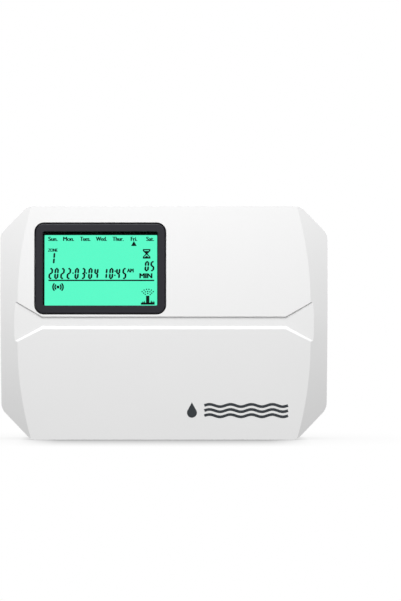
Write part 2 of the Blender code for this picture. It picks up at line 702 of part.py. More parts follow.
def make_keys():
    """Each key is a cap with a flange behind the panel and a stem above its switch."""
    for name, x, z, radius in key_positions():
        flange = radius + KEY_FLANGE_WIDTH
        profile = [(0.0, KEY_TOP), (radius - KEY_EDGE, KEY_TOP), (radius, KEY_TOP - KEY_EDGE),
                   (radius, KEY_FLANGE[1]), (flange, KEY_FLANGE[1]), (flange, KEY_FLANGE[0]),
                   (KEY_STEM_RADIUS, KEY_FLANGE[0]), (KEY_STEM_RADIUS, KEY_STEM_BOTTOM),
                   (0.0, KEY_STEM_BOTTOM)]
        turned(name, profile, x, z, "key_rubber", 24)


def make_switches():
    front = CONTROL_BOARD_DEPTH[1] + GAP
    for name, x, z, _ in key_positions():
        key = name.replace("button_", "")
        switch = block("tact_switch_" + key, (x - SWITCH_HALF, x + SWITCH_HALF),
                       (front, front + SWITCH_HEIGHT), (z - SWITCH_HALF, z + SWITCH_HALF),
                       "black_plastic")
        join(switch, extrusion(f"plunger_{key}", [circle(x, z, PLUNGER_RADIUS, 12)],
                               (front + SWITCH_HEIGHT / 2, front + PLUNGER_TOP)))


def make_screw(name, x, z, head_front, head_radius, shank_length):
    """A pan-head screw along depth."""
    under = head_front - HEAD_HEIGHT
    tip = under - shank_length
    profile = [(0.0, head_front), (head_radius * HEAD_FLAT, head_front),
               (head_radius, head_front - HEAD_ROUNDING * HEAD_HEIGHT), (head_radius, under),
               (SHANK_RADIUS, under), (SHANK_RADIUS, tip + SHANK_POINT),
               (SHANK_TIP_RADIUS, tip), (0.0, tip)]
    turned(name, profile, x, z, "steel", 12)


def make_panel_screws():
    spots = [(side * POST_X, z) for z in reversed(POST_Z) for side in (-1, 1)]
    for number, (x, z) in enumerate(spots, 1):
        make_screw(f"panel_screw_{number}", x, z, PANEL_FRONT + GAP + HEAD_HEIGHT, *PANEL_SCREW)


def make_board_screws():
    spots = [(side * BOARD_SCREW_X, z) for z in reversed(BOARD_SCREW_Z) for side in (-1, 1)]
    for number, (x, z) in enumerate(spots, 1):
        make_screw(f"board_screw_{number}", x, z, ON_BOARD + HEAD_HEIGHT, *BOARD_SCREW)


# ---------------------------------------------------------------- display
def pod_plate(name, size, radius, below, material=None, shift_z=0.0):
    """A plate of the display pod, from and to a distance below the cover's face."""
    outline = rectangle(DISPLAY_X, POD_Z + shift_z, *size)
    plate = extrusion(name, [rounded(outline, radius, 4)], (-below[1], -below[0]), material)
    plate.data.transform(POD_PLACE)
    return plate


def make_display():
    bezel = pod_plate("display_bezel", BEZEL_SIZE, BEZEL_RADIUS, (POD_FRONT, POD_BACK),
                      "bezel_plastic")
    seat = PANEL_FRONT + GAP
    trim(bezel, Vector((0, -seat, 0)), Vector((0, 1, 0)))
    cavity = (BEZEL_SIZE[0] - 2 * BEZEL_WALL, BEZEL_SIZE[1] - 2 * BEZEL_WALL)
    cut(bezel, pod_plate("bezel_cavity", cavity, BEZEL_RADIUS - BEZEL_WALL,
                         (BEZEL_LIP_BACK, POD_BACK + PAST)))
    cut(bezel, pod_plate("bezel_opening", BEZEL_OPENING, BEZEL_OPENING_RADIUS,
                         (-PAST, BEZEL_LIP_BACK + PAST)))
    pod_plate("display_lens", LENS_SIZE, LENS_RADIUS, LENS_BELOW, "clear_lens")
    pod_plate("lcd_panel", LCD_SIZE, LCD_RADIUS, LCD_BELOW, "lcd_green")
    pod_plate("lcd_backlight", BACKLIGHT_SIZE, BACKLIGHT_RADIUS, BACKLIGHT_BELOW, "diffuser",
              BACKLIGHT_RISE)
    half_length = PIN_STRIP_SIZE[0] / 2
    half_width = PIN_STRIP_SIZE[1] / 2
    lcd_back = FRONT - LCD_BELOW[1] - math.tan(PANEL_TILT) * (PIN_STRIP_Z - UPPER_PIVOT_Z)
    block("lcd_pin_strip", (DISPLAY_X - half_length, DISPLAY_X + half_length),
          (CONTROL_BOARD_DEPTH[1] + GAP, lcd_back - PIN_STRIP_GAP),
          (PIN_STRIP_Z - half_width, PIN_STRIP_Z + half_width), "black_plastic")


# ---------------------------------------------------------------- circuit boards
def make_boards():
    main = rectangle(0, sum(MAIN_BOARD_Z) / 2, 2 * MAIN_BOARD_X, MAIN_BOARD_Z[1] - MAIN_BOARD_Z[0])
    bores = on_both_sides(BOARD_SCREW_X, BOARD_SCREW_Z, SCREW_HOLE_RADIUS, 12)
    extrusion("main_board", [rounded(main, BOARD_CORNER_RADIUS, 2)] + bores, MAIN_BOARD_DEPTH,
              "circuit_board")
    upper = rectangle(0, sum(CONTROL_BOARD_Z) / 2, 2 * CONTROL_BOARD_X,
                      CONTROL_BOARD_Z[1] - CONTROL_BOARD_Z[0])
    extrusion("control_board", [rounded(upper, BOARD_CORNER_RADIUS, 2)], CONTROL_BOARD_DEPTH,
              "circuit_board")


def standing_can(name, x, z, radius, height, material):
    """An upright round component with a softened top edge."""
    front = ON_BOARD + height
    profile = [(0.0, front), (radius - CAN_EDGE, front), (radius, front - CAN_EDGE),
               (radius, ON_BOARD), (0.0, ON_BOARD)]
    turned(name, profile, x, z, material, 20)


def chip(name, spans, material=None):
    """A block on the board from its (x span, height, z span)."""
    across, height, up = spans
    return block(name, across, (ON_BOARD, ON_BOARD + height), up, material)


def make_components():
    """Parts soldered on the main board."""
    wifi = chip("wifi_module", WIFI_BOARD, "circuit_board")
    join(wifi, chip("wifi_shield", WIFI_SHIELD))
    chip("microcontroller", MICROCONTROLLER, "black_plastic")
    chip("bridge_rectifier", BRIDGE_RECTIFIER, "black_plastic")
    for name, (x, z, radius, height, material) in STANDING_CANS.items():
        standing_can(name, x, z, radius, height, material)
    disc = circle(VARISTOR_X, ON_BOARD + VARISTOR_RISE, VARISTOR_RADIUS, 16)
    varistor = extrusion("surge_varistor", [disc], VARISTOR_Z, "ceramic_blue", upright=True)
    soften(varistor, VARISTOR_EDGE, 1)
    make_coin_cell()
    make_fuse()
    block("board_header", (-HEADER_X, HEADER_X), (ON_BOARD, ON_BOARD + HEADER_HEIGHT), HEADER_Z,
          "black_plastic")
    block("board_socket", (-SOCKET_X, SOCKET_X),
          (ON_BOARD + HEADER_HEIGHT + GAP, CONTROL_BOARD_DEPTH[0] - GAP), SOCKET_Z,
          "black_plastic")


def make_coin_cell():
    """A backup cell that lies in a round holder."""
    holder = extrusion("coin_cell_holder", [circle(CELL_X, CELL_Z, CELL_HOLDER_RADIUS, 28)],
                       (ON_BOARD, ON_BOARD + CELL_HOLDER_HEIGHT), "black_plastic")
    cut(holder, extrusion("cell_pocket", [circle(CELL_X, CELL_Z, CELL_POCKET_RADIUS, 28)],
                          (ON_BOARD + CELL_FLOOR, ON_BOARD + CELL_HOLDER_HEIGHT + PAST)))
    back = ON_BOARD + CELL_FLOOR + GAP
    front = back + CELL_HEIGHT
    profile = [(0.0, front), (CELL_RADIUS - CELL_EDGE, front), (CELL_RADIUS, front - CELL_EDGE),
               (CELL_RADIUS, back), (0.0, back)]
    turned("coin_cell", profile, CELL_X, CELL_Z, "steel", 28)


def make_fuse():
    """A glass cartridge fuse that lies along x in its holder."""
    end_wall, side_wall = FUSE_HOLDER_WALL
    floor = ON_BOARD + FUSE_HOLDER_FLOOR
    front = ON_BOARD + FUSE_HOLDER_HEIGHT
    holder = block("fuse_holder", FUSE_X, (ON_BOARD, front), FUSE_Z, "black_plastic")
    cut(holder, block("fuse_bay", (FUSE_X[0] + end_wall, FUSE_X[1] - end_wall),
                      (floor, front + PAST), (FUSE_Z[0] + side_wall, FUSE_Z[1] - side_wall)))
    solid = bmesh.new()
    bmesh.ops.create_cone(solid, cap_ends=True, segments=16, radius1=FUSE_RADIUS * MM,
                          radius2=FUSE_RADIUS * MM, depth=FUSE_LENGTH * MM)
    bmesh.ops.rotate(solid, matrix=Matrix.Rotation(math.pi / 2, 3, "Y"), verts=solid.verts)
    centre = Vector((sum(FUSE_X) / 2, -(floor + GAP + FUSE_RADIUS), sum(FUSE_Z) / 2)) * MM
    bmesh.ops.translate(solid, vec=centre, verts=solid.verts)
    from_bmesh("fuse", solid, "fuse_glass")


def repeat(item, count):
    array = item.modifiers.new("row", "ARRAY")
    array.count = count
    array.use_relative_offset = False
    array.use_constant_offset = True
    array.constant_offset_displace = (TERMINAL_PITCH * MM, 0.0, 0.0)


def make_terminals():
    """Screw terminal rows: wires go in from below, screws are turned from the front."""
    for row, (left, count) in TERMINAL_BLOCKS.items():
        first = left + TERMINAL_MARGIN + TERMINAL_PITCH / 2
        right = left + 2 * TERMINAL_MARGIN + count * TERMINAL_PITCH
        body = block("terminal_block_" + row, (left, right), (ON_BOARD, TERMINAL_FRONT),
                     TERMINAL_Z, "terminal_green")
        well = circle(first, TERMINAL_WELL_Z, TERMINAL_WELL_RADIUS, 12)
        wells = extrusion(row + "_wells", [well],
                          (TERMINAL_FRONT - TERMINAL_WELL_DEPTH, TERMINAL_FRONT + PAST))
        repeat(wells, count)
        entries = block(row + "_entries", (first - WIRE_ENTRY_X, first + WIRE_ENTRY_X),
                        WIRE_ENTRY_DEPTH, (TERMINAL_Z[0] - PAST, TERMINAL_Z[0] + WIRE_ENTRY_RISE))
        repeat(entries, count)
        cut(body, wells, entries)
        for number in range(count):
            x = first + number * TERMINAL_PITCH
            turned(f"terminal_screw_{row}_{number + 1}", TERMINAL_SCREW, x, TERMINAL_WELL_Z,
                   "steel", 12)


# ---------------------------------------------------------------- assembly
def smooth_round_sides():
    for item in PARTS.objects:
        item.data.shade_smooth()
        item.data.set_sharp_from_angle(angle=math.radians(32))


def main():
    make_rear_case()
    make_front_cover()
    make_hinge_pins()
    make_grommet()
    make_control_panel()
    make_keys()
    make_display()
    make_boards()
    make_switches()
    make_panel_screws()
    make_board_screws()
    make_components()
    make_terminals()
    smooth_round_sides()


main()
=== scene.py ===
"""Looks of the irrigation controller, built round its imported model.

Sizes below are millimetres. X runs right and Z up, and depth is measured from the
wall towards the user, so a depth of d lies at y = -d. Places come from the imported
nodes' boxes where they can.
"""

from math import acos, asin, atan2, cos, pi, radians, sin, tan

import bmesh
import bpy
from mathutils import Matrix, Vector


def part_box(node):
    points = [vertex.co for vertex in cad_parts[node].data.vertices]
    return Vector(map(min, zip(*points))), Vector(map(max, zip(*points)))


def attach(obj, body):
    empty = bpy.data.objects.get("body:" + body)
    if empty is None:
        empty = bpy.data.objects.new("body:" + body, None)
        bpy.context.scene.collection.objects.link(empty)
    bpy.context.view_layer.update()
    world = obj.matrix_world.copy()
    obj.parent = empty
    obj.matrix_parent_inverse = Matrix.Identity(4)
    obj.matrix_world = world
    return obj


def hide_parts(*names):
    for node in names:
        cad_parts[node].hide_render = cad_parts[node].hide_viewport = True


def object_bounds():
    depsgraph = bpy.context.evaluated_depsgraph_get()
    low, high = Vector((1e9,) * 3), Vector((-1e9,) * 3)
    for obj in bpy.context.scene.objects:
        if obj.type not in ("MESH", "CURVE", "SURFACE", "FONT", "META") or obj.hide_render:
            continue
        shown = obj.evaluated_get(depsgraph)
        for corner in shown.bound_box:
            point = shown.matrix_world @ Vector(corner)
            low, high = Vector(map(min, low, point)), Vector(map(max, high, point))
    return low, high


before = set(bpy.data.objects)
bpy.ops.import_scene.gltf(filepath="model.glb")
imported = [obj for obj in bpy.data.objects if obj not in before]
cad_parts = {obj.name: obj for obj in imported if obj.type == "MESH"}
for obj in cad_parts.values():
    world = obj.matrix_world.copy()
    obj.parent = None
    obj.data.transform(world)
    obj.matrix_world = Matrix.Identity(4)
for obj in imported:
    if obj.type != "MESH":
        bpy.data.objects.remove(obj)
cad_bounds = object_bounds()

MM = 0.001
HOUSING = "housing"
COVER = "cover"

# ---- design dimensions
RIGHT_CORNERS = [(88.0, 75.4), (106.0, 57.7), (105.4, -55.6), (85.8, -75.4)]
OUTLINE = RIGHT_CORNERS + [(-x, z) for x, z in reversed(RIGHT_CORNERS)]
CORNER_RADIUS = 9.5
CORNER_STEPS = 9

PAST = 5.0  # how far a cutting tool reaches past its work
BEYOND = (-120.0, 120.0)  # a span wider and higher than the whole object

FRONT = 46.0
COVER_FOOT = 12.0  # where the cover's form starts, before its rim is cut
COVER_RIM = 20.4
COVER_WALL = 2.4
PANEL_TILT = radians(2.0)
UPPER_PIVOT_Z = 3.1
LOWER_PIVOT_Z = -4.3
FACET_EDGE_X = 94.4
FACET_SLOPE = 0.5
FACET_WAIST_Z = 14.0
FACET_BOW = 8.7
FACET_BOW_SPAN = 61.4
FACET_SLICES = 12
COVER_EDGE_RADIUS = 1.1

RECESS_DEPTH = 1.1
RECESS_FLAT_X = 78.5
RECESS_TOP_Z = 4.2
RECESS_BOTTOM_Z = -2.0
RECESS_DRAFT = 0.9
RECESS_BEVEL = 1.9
RECESS_FLARE_UP = 0.588
RECESS_FLARE_DOWN = 0.54
RECESS_REACH_X = 112.0

HINGE_X = -102.5
HINGE_DEPTH = 21.5
BEAD_RADIUS = 3.5
BEAD_Z = (-57.0, 62.0)
NOTCH_LEFT_X = -109.0
NOTCH_RIGHT_X = HINGE_X + BEAD_RADIUS + 0.5
NOTCH_DEPTH = (15.0, 25.2)
COVER_BORE = 5.0  # to each side of a pin's middle
PIN_HOLE_RADIUS = 1.2
EAR_HEIGHT = 4.0
EAR_GAP = 0.4

BEZEL_SIZE = (83.8, 58.1)
BEZEL_RADIUS = 5.5
BEZEL_OPENING = (74.3, 47.8)
BEZEL_OPENING_RADIUS = 1.3
WINDOW_GAP = 0.7
DISPLAY_X = -41.15
DISPLAY_Z = 35.2

CASE_RIM = 20.0
CASE_WALL = 2.8
CASE_FLOOR = 2.5
KEYHOLE_X = 60.0
KEYHOLE_Z = 45.0
KEYHOLE_RADIUS = 4.2
KEYHOLE_SLOT = 2.2
KEYHOLE_RISE = 9.0
REAR_CABLE_HOLE = (0.0, -60.0, 30.0, 16.0)
CABLE_SLOT_X = 20.0
CABLE_SLOT_DEPTH = (5.0, 17.0)
EAR_RADIUS = 2.8
PIN_RADIUS = 1.0

PANEL_INSET = 7.5
PANEL_FRONT = 34.0
PANEL_THICKNESS = 2.2
PANEL_SKIRT = 1.5
PANEL_BACK_RIM = 21.0
PANEL_BOTTOM_Z = -20.0
SHELF_Z = (-31.0, -19.0)
SHELF_DEPTH = (20.0, 22.0)
POST_X = 91.5
POST_Z = (-10.0, 50.0)
POST_RADIUS = 3.5
PIN_STRIP_OPENING = (DISPLAY_X, 10.6, 52.0, 4.6)

GAP = 0.3
KEYS_X = 52.0
KEYS_Z = 35.0
KEY_PITCH = 18.5
ZONES = 8
KEY_SMALL_RADIUS = 5.5
KEY_LARGE_RADIUS = 7.0
KEYS = {"ok": (0, 0), "up": (0, 1), "down": (0, -1), "left": (-1, 0), "right": (1, 0)}
KEY_TOP = 36.2
KEY_FLANGE = (30.2, 31.5)
KEY_STEM_BOTTOM = 28.6

BOARD_DEPTH = 10.0
BOARD_FRONT = 11.6
BOARD_SCREW_X = 80.0
BOARD_SCREW_Z = (-24.0, 34.0)
ON_BOARD = BOARD_FRONT + GAP
TERMINAL_PITCH = 5.08
TERMINAL_Z = (-41.5, -31.3)
TERMINAL_FRONT = 24.5
TERMINAL_WELL_Z = -35.5
TERMINAL_MARGIN = 0.6  # beyond the first and the last pole of a row
TERMINAL_BLOCKS = {"power": (-62.0, 4), "valves": (-30.0, 10)}  # left edge, poles


def pole_x(row, pole):
    """Middle of a pole, counted from 0."""
    return TERMINAL_BLOCKS[row][0] + TERMINAL_MARGIN + TERMINAL_PITCH * (pole + 0.5)


# ---- outlines, in (x, z)
def rectangle(centre_x, centre_z, width, height):
    left = centre_x - width / 2
    right = centre_x + width / 2
    low = centre_z - height / 2
    high = centre_z + height / 2
    return [(left, low), (right, low), (right, high), (left, high)]


def arc(centre_x, centre_z, radius, start, end, steps):
    angles = [start + (end - start) * step / steps for step in range(steps + 1)]
    return [(centre_x + radius * cos(a), centre_z + radius * sin(a)) for a in angles]


def circle(centre_x, centre_z, radius, steps=32):
    return arc(centre_x, centre_z, radius, 0.0, 2 * pi, steps)[:-1]


def corner_circles(corners, radius):
    """At each corner, the circle that touches both its edges: centre and the two touches."""
    for index, corner in enumerate(corners):
        here = Vector(corner)
        back = (Vector(corners[index - 1]) - here).normalized()
        ahead = (Vector(corners[(index + 1) % len(corners)]) - here).normalized()
        half_angle = back.angle(ahead) / 2
        reach = radius / tan(half_angle)
        centre = here + (back + ahead).normalized() * (radius / sin(half_angle))
        yield centre, here + back * reach - centre, here + ahead * reach - centre


def rounded(corners, radius, steps=6):
    """The outline with an arc in place of each corner."""
    points = []
    for centre, first, last in corner_circles(corners, radius):
        start = atan2(first.y, first.x)
        sweep = (atan2(last.y, last.x) - start + pi) % (2 * pi) - pi
        points += arc(centre.x, centre.y, radius, start, start + sweep, steps)
    return points


def inset(corners, distance):
    """A convex outline moved inwards by the distance."""
    return [tuple(centre) for centre, _, _ in corner_circles(corners, distance)]


def moved(outlines, x, z):
    return [[(x + across, z + up) for across, up in outline] for outline in outlines]


def grown(size, margin):
    return [length + margin for length in size]


def stroke(points, width):
    """A ribbon of one width along an open line, as an outline."""
    left = []
    right = []
    for index, point in enumerate(points):
        here = Vector(point)
        before = Vector(points[max(index - 1, 0)])
        after = Vector(points[min(index + 1, len(points) - 1)])
        along = (after - before).normalized()
        side = Vector((-along.y, along.x)) * (width / 2)
        left.append(tuple(here + side))
        right.append(tuple(here - side))
    return left + right[::-1]


# ---- solids
def adjust(item, **settings):
    for setting, value in settings.items():
        setattr(item, setting, value)


def add_object(name, data):
    item = bpy.data.objects.new(name, data)
    bpy.context.scene.collection.objects.link(item)
    return item


def discard(item):
    bpy.data.objects.remove(item, do_unlink=True)


def from_bmesh(name, solid):
    mesh = bpy.data.meshes.new(name)
    solid.to_mesh(mesh)
    solid.free()
    return add_object(name, mesh)


def block(name, x, depth, z):
    """A box from its spans in x, depth and z."""
    outline = [(x[0], z[0]), (x[1], z[0]), (x[1], z[1]), (x[0], z[1])]
    return extrusion(name, [outline], depth)


def baked_mesh(item):
    depsgraph = bpy.context.evaluated_depsgraph_get()
    return bpy.data.meshes.new_from_object(item.evaluated_get(depsgraph))


def extrusion(name, outlines, span, upright=False):
    """A solid from flat outlines; an outline inside another is a hole.

    The outlines are in (x, z) and the span is in depth, or, for an upright
    solid, the outlines are in (x, depth) and the span is in z.
    """
    curve = bpy.data.curves.new(name, "CURVE")
    adjust(curve, dimensions="2D", fill_mode="BOTH", extrude=(span[1] - span[0]) / 2 * MM)
    for outline in outlines:
        spline = curve.splines.new("POLY")
        spline.points.add(len(outline) - 1)
        spline.use_cyclic_u = True
        for point, (across, along) in zip(spline.points, outline):
            point.co = (across * MM, (-along if upright else along) * MM, 0.0, 1.0)
    guide = add_object(name + "_outline", curve)
    middle = (span[0] + span[1]) / 2 * MM
    if upright:
        place = Matrix.Translation((0.0, 0.0, middle))
    else:
        place = Matrix.Translation((0.0, -middle, 0.0)) @ Matrix.Rotation(pi / 2, 4, "X")
    mesh = baked_mesh(guide)
    discard(guide)
    solid = bmesh.new()
    solid.from_mesh(mesh)
    bmesh.ops.remove_doubles(solid, verts=solid.verts, dist=1e-6)
    bmesh.ops.transform(solid, matrix=place, verts=solid.verts)
    bmesh.ops.recalc_face_normals(solid, faces=solid.faces)
    bmesh.ops.dissolve_limit(solid, angle_limit=radians(0.5), verts=solid.verts,
                             edges=solid.edges)
    solid.to_mesh(mesh)
    solid.free()
    return add_object(name, mesh)


def hinge_rod(name, span, radius):
    """A cylinder along the hinge's axis, between two heights."""
    return extrusion(name, [circle(HINGE_X, HINGE_DEPTH, radius)], span, upright=True)


def combine(target, tool, operation):
    """Joins or cuts with a tool, which is used up."""
    adjust(target.modifiers.new(tool.name, "BOOLEAN"), object=tool, operation=operation,
           solver="EXACT")
    apply_modifiers(target)
    discard(tool)


def cut(target, *tools):
    for tool in tools:
        combine(target, tool, "DIFFERENCE")


def cut_out(target, outlines, span, upright=False):
    cut(target, extrusion("tool", outlines, span, upright))


def build_on(target, outlines, span, upright=False):
    combine(target, extrusion("tool", outlines, span, upright), "UNION")


def apply_modifiers(item):
    mesh = baked_mesh(item)
    item.modifiers.clear()
    item.data = mesh


def turned(name, profile, x=0.0, z=0.0, steps=40):
    """A solid of revolution about an axis along depth, from its (radius, depth) profile."""
    solid = bmesh.new()
    points = [solid.verts.new((radius * MM, -depth * MM, 0.0)) for radius, depth in profile]
    lines = [solid.edges.new(pair) for pair in zip(points, points[1:])]
    bmesh.ops.spin(solid, geom=points + lines, cent=(0, 0, 0), axis=(0, 1, 0),
                   angle=2 * pi, steps=steps)
    bmesh.ops.remove_doubles(solid, verts=solid.verts, dist=1e-7)
    bmesh.ops.recalc_face_normals(solid, faces=solid.faces)
    bmesh.ops.translate(solid, vec=Vector((x, 0.0, z)) * MM, verts=solid.verts)
    return from_bmesh(name, solid)


def merge(name, items):
    """One object from several separate solids, which are used up."""
    solid = bmesh.new()
    for item in items:
        solid.from_mesh(item.data)
        discard(item)
    return from_bmesh(name, solid)


def trim(item, point, normal):
    """Cut a solid along a plane and throw away the side that the normal points to."""
    solid = bmesh.new()
    solid.from_mesh(item.data)
    whole = solid.verts[:] + solid.edges[:] + solid.faces[:]
    result = bmesh.ops.bisect_plane(solid, geom=whole, plane_co=point * MM,
                                    plane_no=normal, clear_outer=True, dist=1e-7)
    rim = [part for part in result["geom_cut"] if isinstance(part, bmesh.types.BMEdge)]
    bmesh.ops.edgeloop_fill(solid, edges=rim)
    bmesh.ops.recalc_face_normals(solid, faces=solid.faces)
    solid.to_mesh(item.data)
    solid.free()


def soften(item, width, segments=3, angle=35):
    """Rounds the edges sharper than the angle, in degrees."""
    adjust(item.modifiers.new("edges", "BEVEL"), width=width * MM, segments=segments,
           limit_method="ANGLE", angle_limit=radians(angle), miter_outer="MITER_ARC")


def finish_surface(item, sharp=40):
    """Smooth shading that keeps flat faces flat."""
    item.data.shade_smooth()
    item.data.set_sharp_from_angle(angle=radians(sharp))
    adjust(item.modifiers.new("flat_faces", "WEIGHTED_NORMAL"), keep_sharp=True, weight=80)


# ---- materials
CLOUD_SCALE = 35.0  # of the slight mottle in every surface
CLOUD_DETAIL = 4.0
GRAIN_DETAIL = 3.0
GRAIN_HEIGHT = 0.05
GLOW_SCALE = 30.0
GLOW_LEAST = 0.97  # share of the full glow in its dimmest places
COPPER_TRACK = (0.03, 0.19, 0.085, 1.0)
TINNED_PAD = (0.55, 0.55, 0.50, 1.0)
PAD_SHARE = 0.13


def feed(node, inputs):
    """Gives each input of a shader node a value, or the socket that feeds it."""
    for name, value in inputs.items():
        if isinstance(value, bpy.types.NodeSocket):
            node.id_data.links.new(value, node.inputs[name])
        else:
            node.inputs[name].default_value = value


def add_node(tree, kind, inputs=(), **settings):
    node = tree.nodes.new("ShaderNode" + kind)
    adjust(node, **settings)
    feed(node, dict(inputs))
    return node


def object_place(tree):
    return add_node(tree, "TexCoord").outputs["Object"]


def noise(tree, scale, detail=2.0):
    """A value from 0 to 1 that varies over the object."""
    inputs = {"Vector": object_place(tree), "Scale": scale, "Detail": detail}
    return add_node(tree, "TexNoise", inputs).outputs["Fac"]


def mixed(tree, share, first, second):
    inputs = {"Factor": share, "A": first, "B": second}
    return add_node(tree, "Mix", inputs, data_type="RGBA").outputs["Result"]


def rgba(colour, scale=1.0):
    return (*[min(value * scale, 1.0) for value in colour], 1.0)


def new_tree(name):
    material = bpy.data.materials.new(name + "_look")
    material.use_nodes = True
    return material, material.node_tree


def surface(name, colour, roughness, metallic=0.0, specular=0.5, grain=None, mottle=0.03):
    """A Principled material whose colour and height vary a little, as moulded plastic does.

    grain is (size of the texture in mm, strength of its relief).
    """
    material, tree = new_tree(name)
    shader = tree.nodes["Principled BSDF"]
    cloud = noise(tree, CLOUD_SCALE, CLOUD_DETAIL)
    tint = mixed(tree, cloud, rgba(colour, 1 - mottle), rgba(colour, 1 + mottle))
    feed(shader, {"Roughness": roughness, "Metallic": metallic,
                  "Specular IOR Level": specular, "Base Color": tint})
    if grain:
        size, strength = grain
        relief = add_node(tree, "Bump", {
            "Strength": strength, "Distance": GRAIN_HEIGHT * MM,
            "Height": noise(tree, 1.0 / (size * MM), GRAIN_DETAIL)})
        feed(shader, {"Normal": relief.outputs["Normal"]})
    return material


def glowing(name, colour, strength):
    """A back-lit field that is a little brighter in some places than in others."""
    material = surface(name, (0.0, 0.0, 0.0), 0.4, specular=0.2)
    tree = material.node_tree
    glow = mixed(tree, noise(tree, GLOW_SCALE), rgba(colour, GLOW_LEAST), rgba(colour))
    feed(tree.nodes["Principled BSDF"], {"Emission Color": glow, "Emission Strength": strength})
    return material


def clear_pane(name, tint, facing_alpha, grazing_alpha):
    """A clear window that is more mirror-like at a shallow angle."""
    material = surface(name, tint, 0.04, mottle=0.0)
    tree = material.node_tree
    edge = add_node(tree, "LayerWeight", {"Blend": 0.35})
    level = add_node(tree, "MapRange", {
        "Value": edge.outputs["Facing"], "To Min": facing_alpha, "To Max": grazing_alpha})
    feed(tree.nodes["Principled BSDF"], {"Alpha": level.outputs["Result"]})
    return material


def circuit_board(name):
    """Green solder mask with paler copper tracks under it and tinned pads."""
    material = surface(name, (0.010, 0.085, 0.038), 0.3, mottle=0.12)
    tree = material.node_tree
    shader = tree.nodes["Principled BSDF"]
    mask = shader.inputs["Base Color"].links[0].from_socket
    place = object_place(tree)
    upright = add_node(tree, "Mapping", {
        "Vector": place, "Rotation": (pi / 2, 0.0, 0.0)})
    tracks = add_node(tree, "TexBrick", {
        "Vector": upright.outputs["Vector"], "Scale": 160.0, "Mortar Size": 0.035,
        "Brick Width": 1.3, "Row Height": 0.4})
    copper = mixed(tree, tracks.outputs["Fac"], mask, COPPER_TRACK)
    dots = add_node(tree, "TexVoronoi", {"Vector": place, "Scale": 240.0})
    pad = add_node(tree, "Math", {0: dots.outputs["Distance"], 1: PAD_SHARE},
                   operation="LESS_THAN")
    feed(shader, {"Base Color": mixed(tree, pad.outputs["Value"], copper, TINNED_PAD)})
    return material


WHITE_ABS = surface("white_abs", (0.80, 0.80, 0.80), 0.42, grain=(0.35, 0.10), mottle=0.01)
GREY_ABS = surface("grey_abs", (0.50, 0.51, 0.52), 0.5, grain=(0.35, 0.2), mottle=0.02)
BEZEL_PLASTIC = surface("bezel", (0.014, 0.0135, 0.019), 0.42, specular=0.3,
                        grain=(0.3, 0.2), mottle=0.08)
LENS_CLEAR = clear_pane("lens", (0.02, 0.03, 0.03), 0.03, 0.5)
# near-black glass round the lit field: the display's own border, and where it shows wider at the
# top and left of the opening, painted shade for the shadow of the bezel's walls
LCD_BORDER_AND_SHADE = surface("lcd_border_and_shade", (0.0008, 0.0015, 0.001), 0.4, specular=0.1)
LCD_GLOW = glowing("lcd_glow", (0.105, 1.0, 0.60), 1.03)
LCD_INK = surface("lcd_ink", (0.0006, 0.006, 0.004), 0.5, specular=0.1)
DIFFUSER = surface("diffuser", (0.8, 0.9, 0.82), 0.5)
BLACK_PLASTIC = surface("black_plastic", (0.018, 0.018, 0.02), 0.45, grain=(0.25, 0.3))
BOARD_GREEN = circuit_board("board")
STEEL = surface("steel", (0.62, 0.61, 0.58), 0.28, metallic=1.0, grain=(0.15, 0.15),
                mottle=0.06)
KEY_RUBBER = surface("key", (0.10, 0.125, 0.15), 0.62, grain=(0.25, 0.3), mottle=0.05)
GROMMET_RUBBER = surface("grommet", (0.025, 0.025, 0.026), 0.7, grain=(0.4, 0.4), mottle=0.1)
TERMINAL_GREEN = surface("terminal", (0.02, 0.26, 0.10), 0.42, grain=(0.3, 0.2), mottle=0.06)
CAN_SLEEVE = surface("can", (0.015, 0.03, 0.09), 0.3, mottle=0.1)
CERAMIC_BLUE = surface("ceramic", (0.03, 0.10, 0.36), 0.35, grain=(0.6, 0.2), mottle=0.08)
FUSE_GLASS = clear_pane("fuse", (0.7, 0.78, 0.78), 0.25, 0.8)
PRINT_WHITE = surface("print_white", (0.75, 0.76, 0.76), 0.5, mottle=0.04)
PRINT_GREY = surface("print", (0.036, 0.042, 0.048), 0.5, specular=0.25, mottle=0.05)


def place_piece(item, body, material, stands_for=()):
    """Give a new piece its material, its body and the nodes it stands for."""
    item.data.materials.clear()
    item.data.materials.append(material)
    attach(item, body)
    if stands_for:
        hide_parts(*stands_for)


def paint_node(name, material):
    """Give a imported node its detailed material."""
    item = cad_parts[name]
    if not item.material_slots:
        item.data.materials.append(material)
    for slot in item.material_slots:
        slot.link = "OBJECT"
        slot.material = material


# ---- front cover
def cover_faces():
    """Point and outward normal of each plane that bounds the cover's front."""
    lean = tan(PANEL_TILT)
    faces = [
        (Vector((0, -FRONT, UPPER_PIVOT_Z)), Vector((0, -1, lean)).normalized()),
        (Vector((0, -FRONT, LOWER_PIVOT_Z)), Vector((0, -1, -lean)).normalized()),
    ]
    top = OUTLINE[0][1]
    heights = [FACET_WAIST_Z + (top - FACET_WAIST_Z) * (k + 1) / FACET_SLICES
               for k in range(FACET_SLICES)]
    for side in (-1, 1):
        outward = Vector((side * FACET_SLOPE, -1, 0)).normalized()
        faces.append((Vector((side * FACET_EDGE_X, -FRONT, 0)), outward))
        for half in (-1, 1):
            pivot = UPPER_PIVOT_Z if half > 0 else -LOWER_PIVOT_Z
            for height in heights:
                bow = (height - FACET_WAIST_Z) / FACET_BOW_SPAN
                edge_x = FACET_EDGE_X - FACET_BOW * bow ** 2
                depth = FRONT - lean * (height - pivot)
                edge = Vector((-side * 2 * FACET_BOW * bow / FACET_BOW_SPAN, lean, half))
                slope = Vector((side, FACET_SLOPE, 0))
                normal = edge.cross(slope).normalized()
                if normal.y > 0:
                    normal.negate()
                faces.append((Vector((side * edge_x, -depth, half * height)), normal))
    return faces


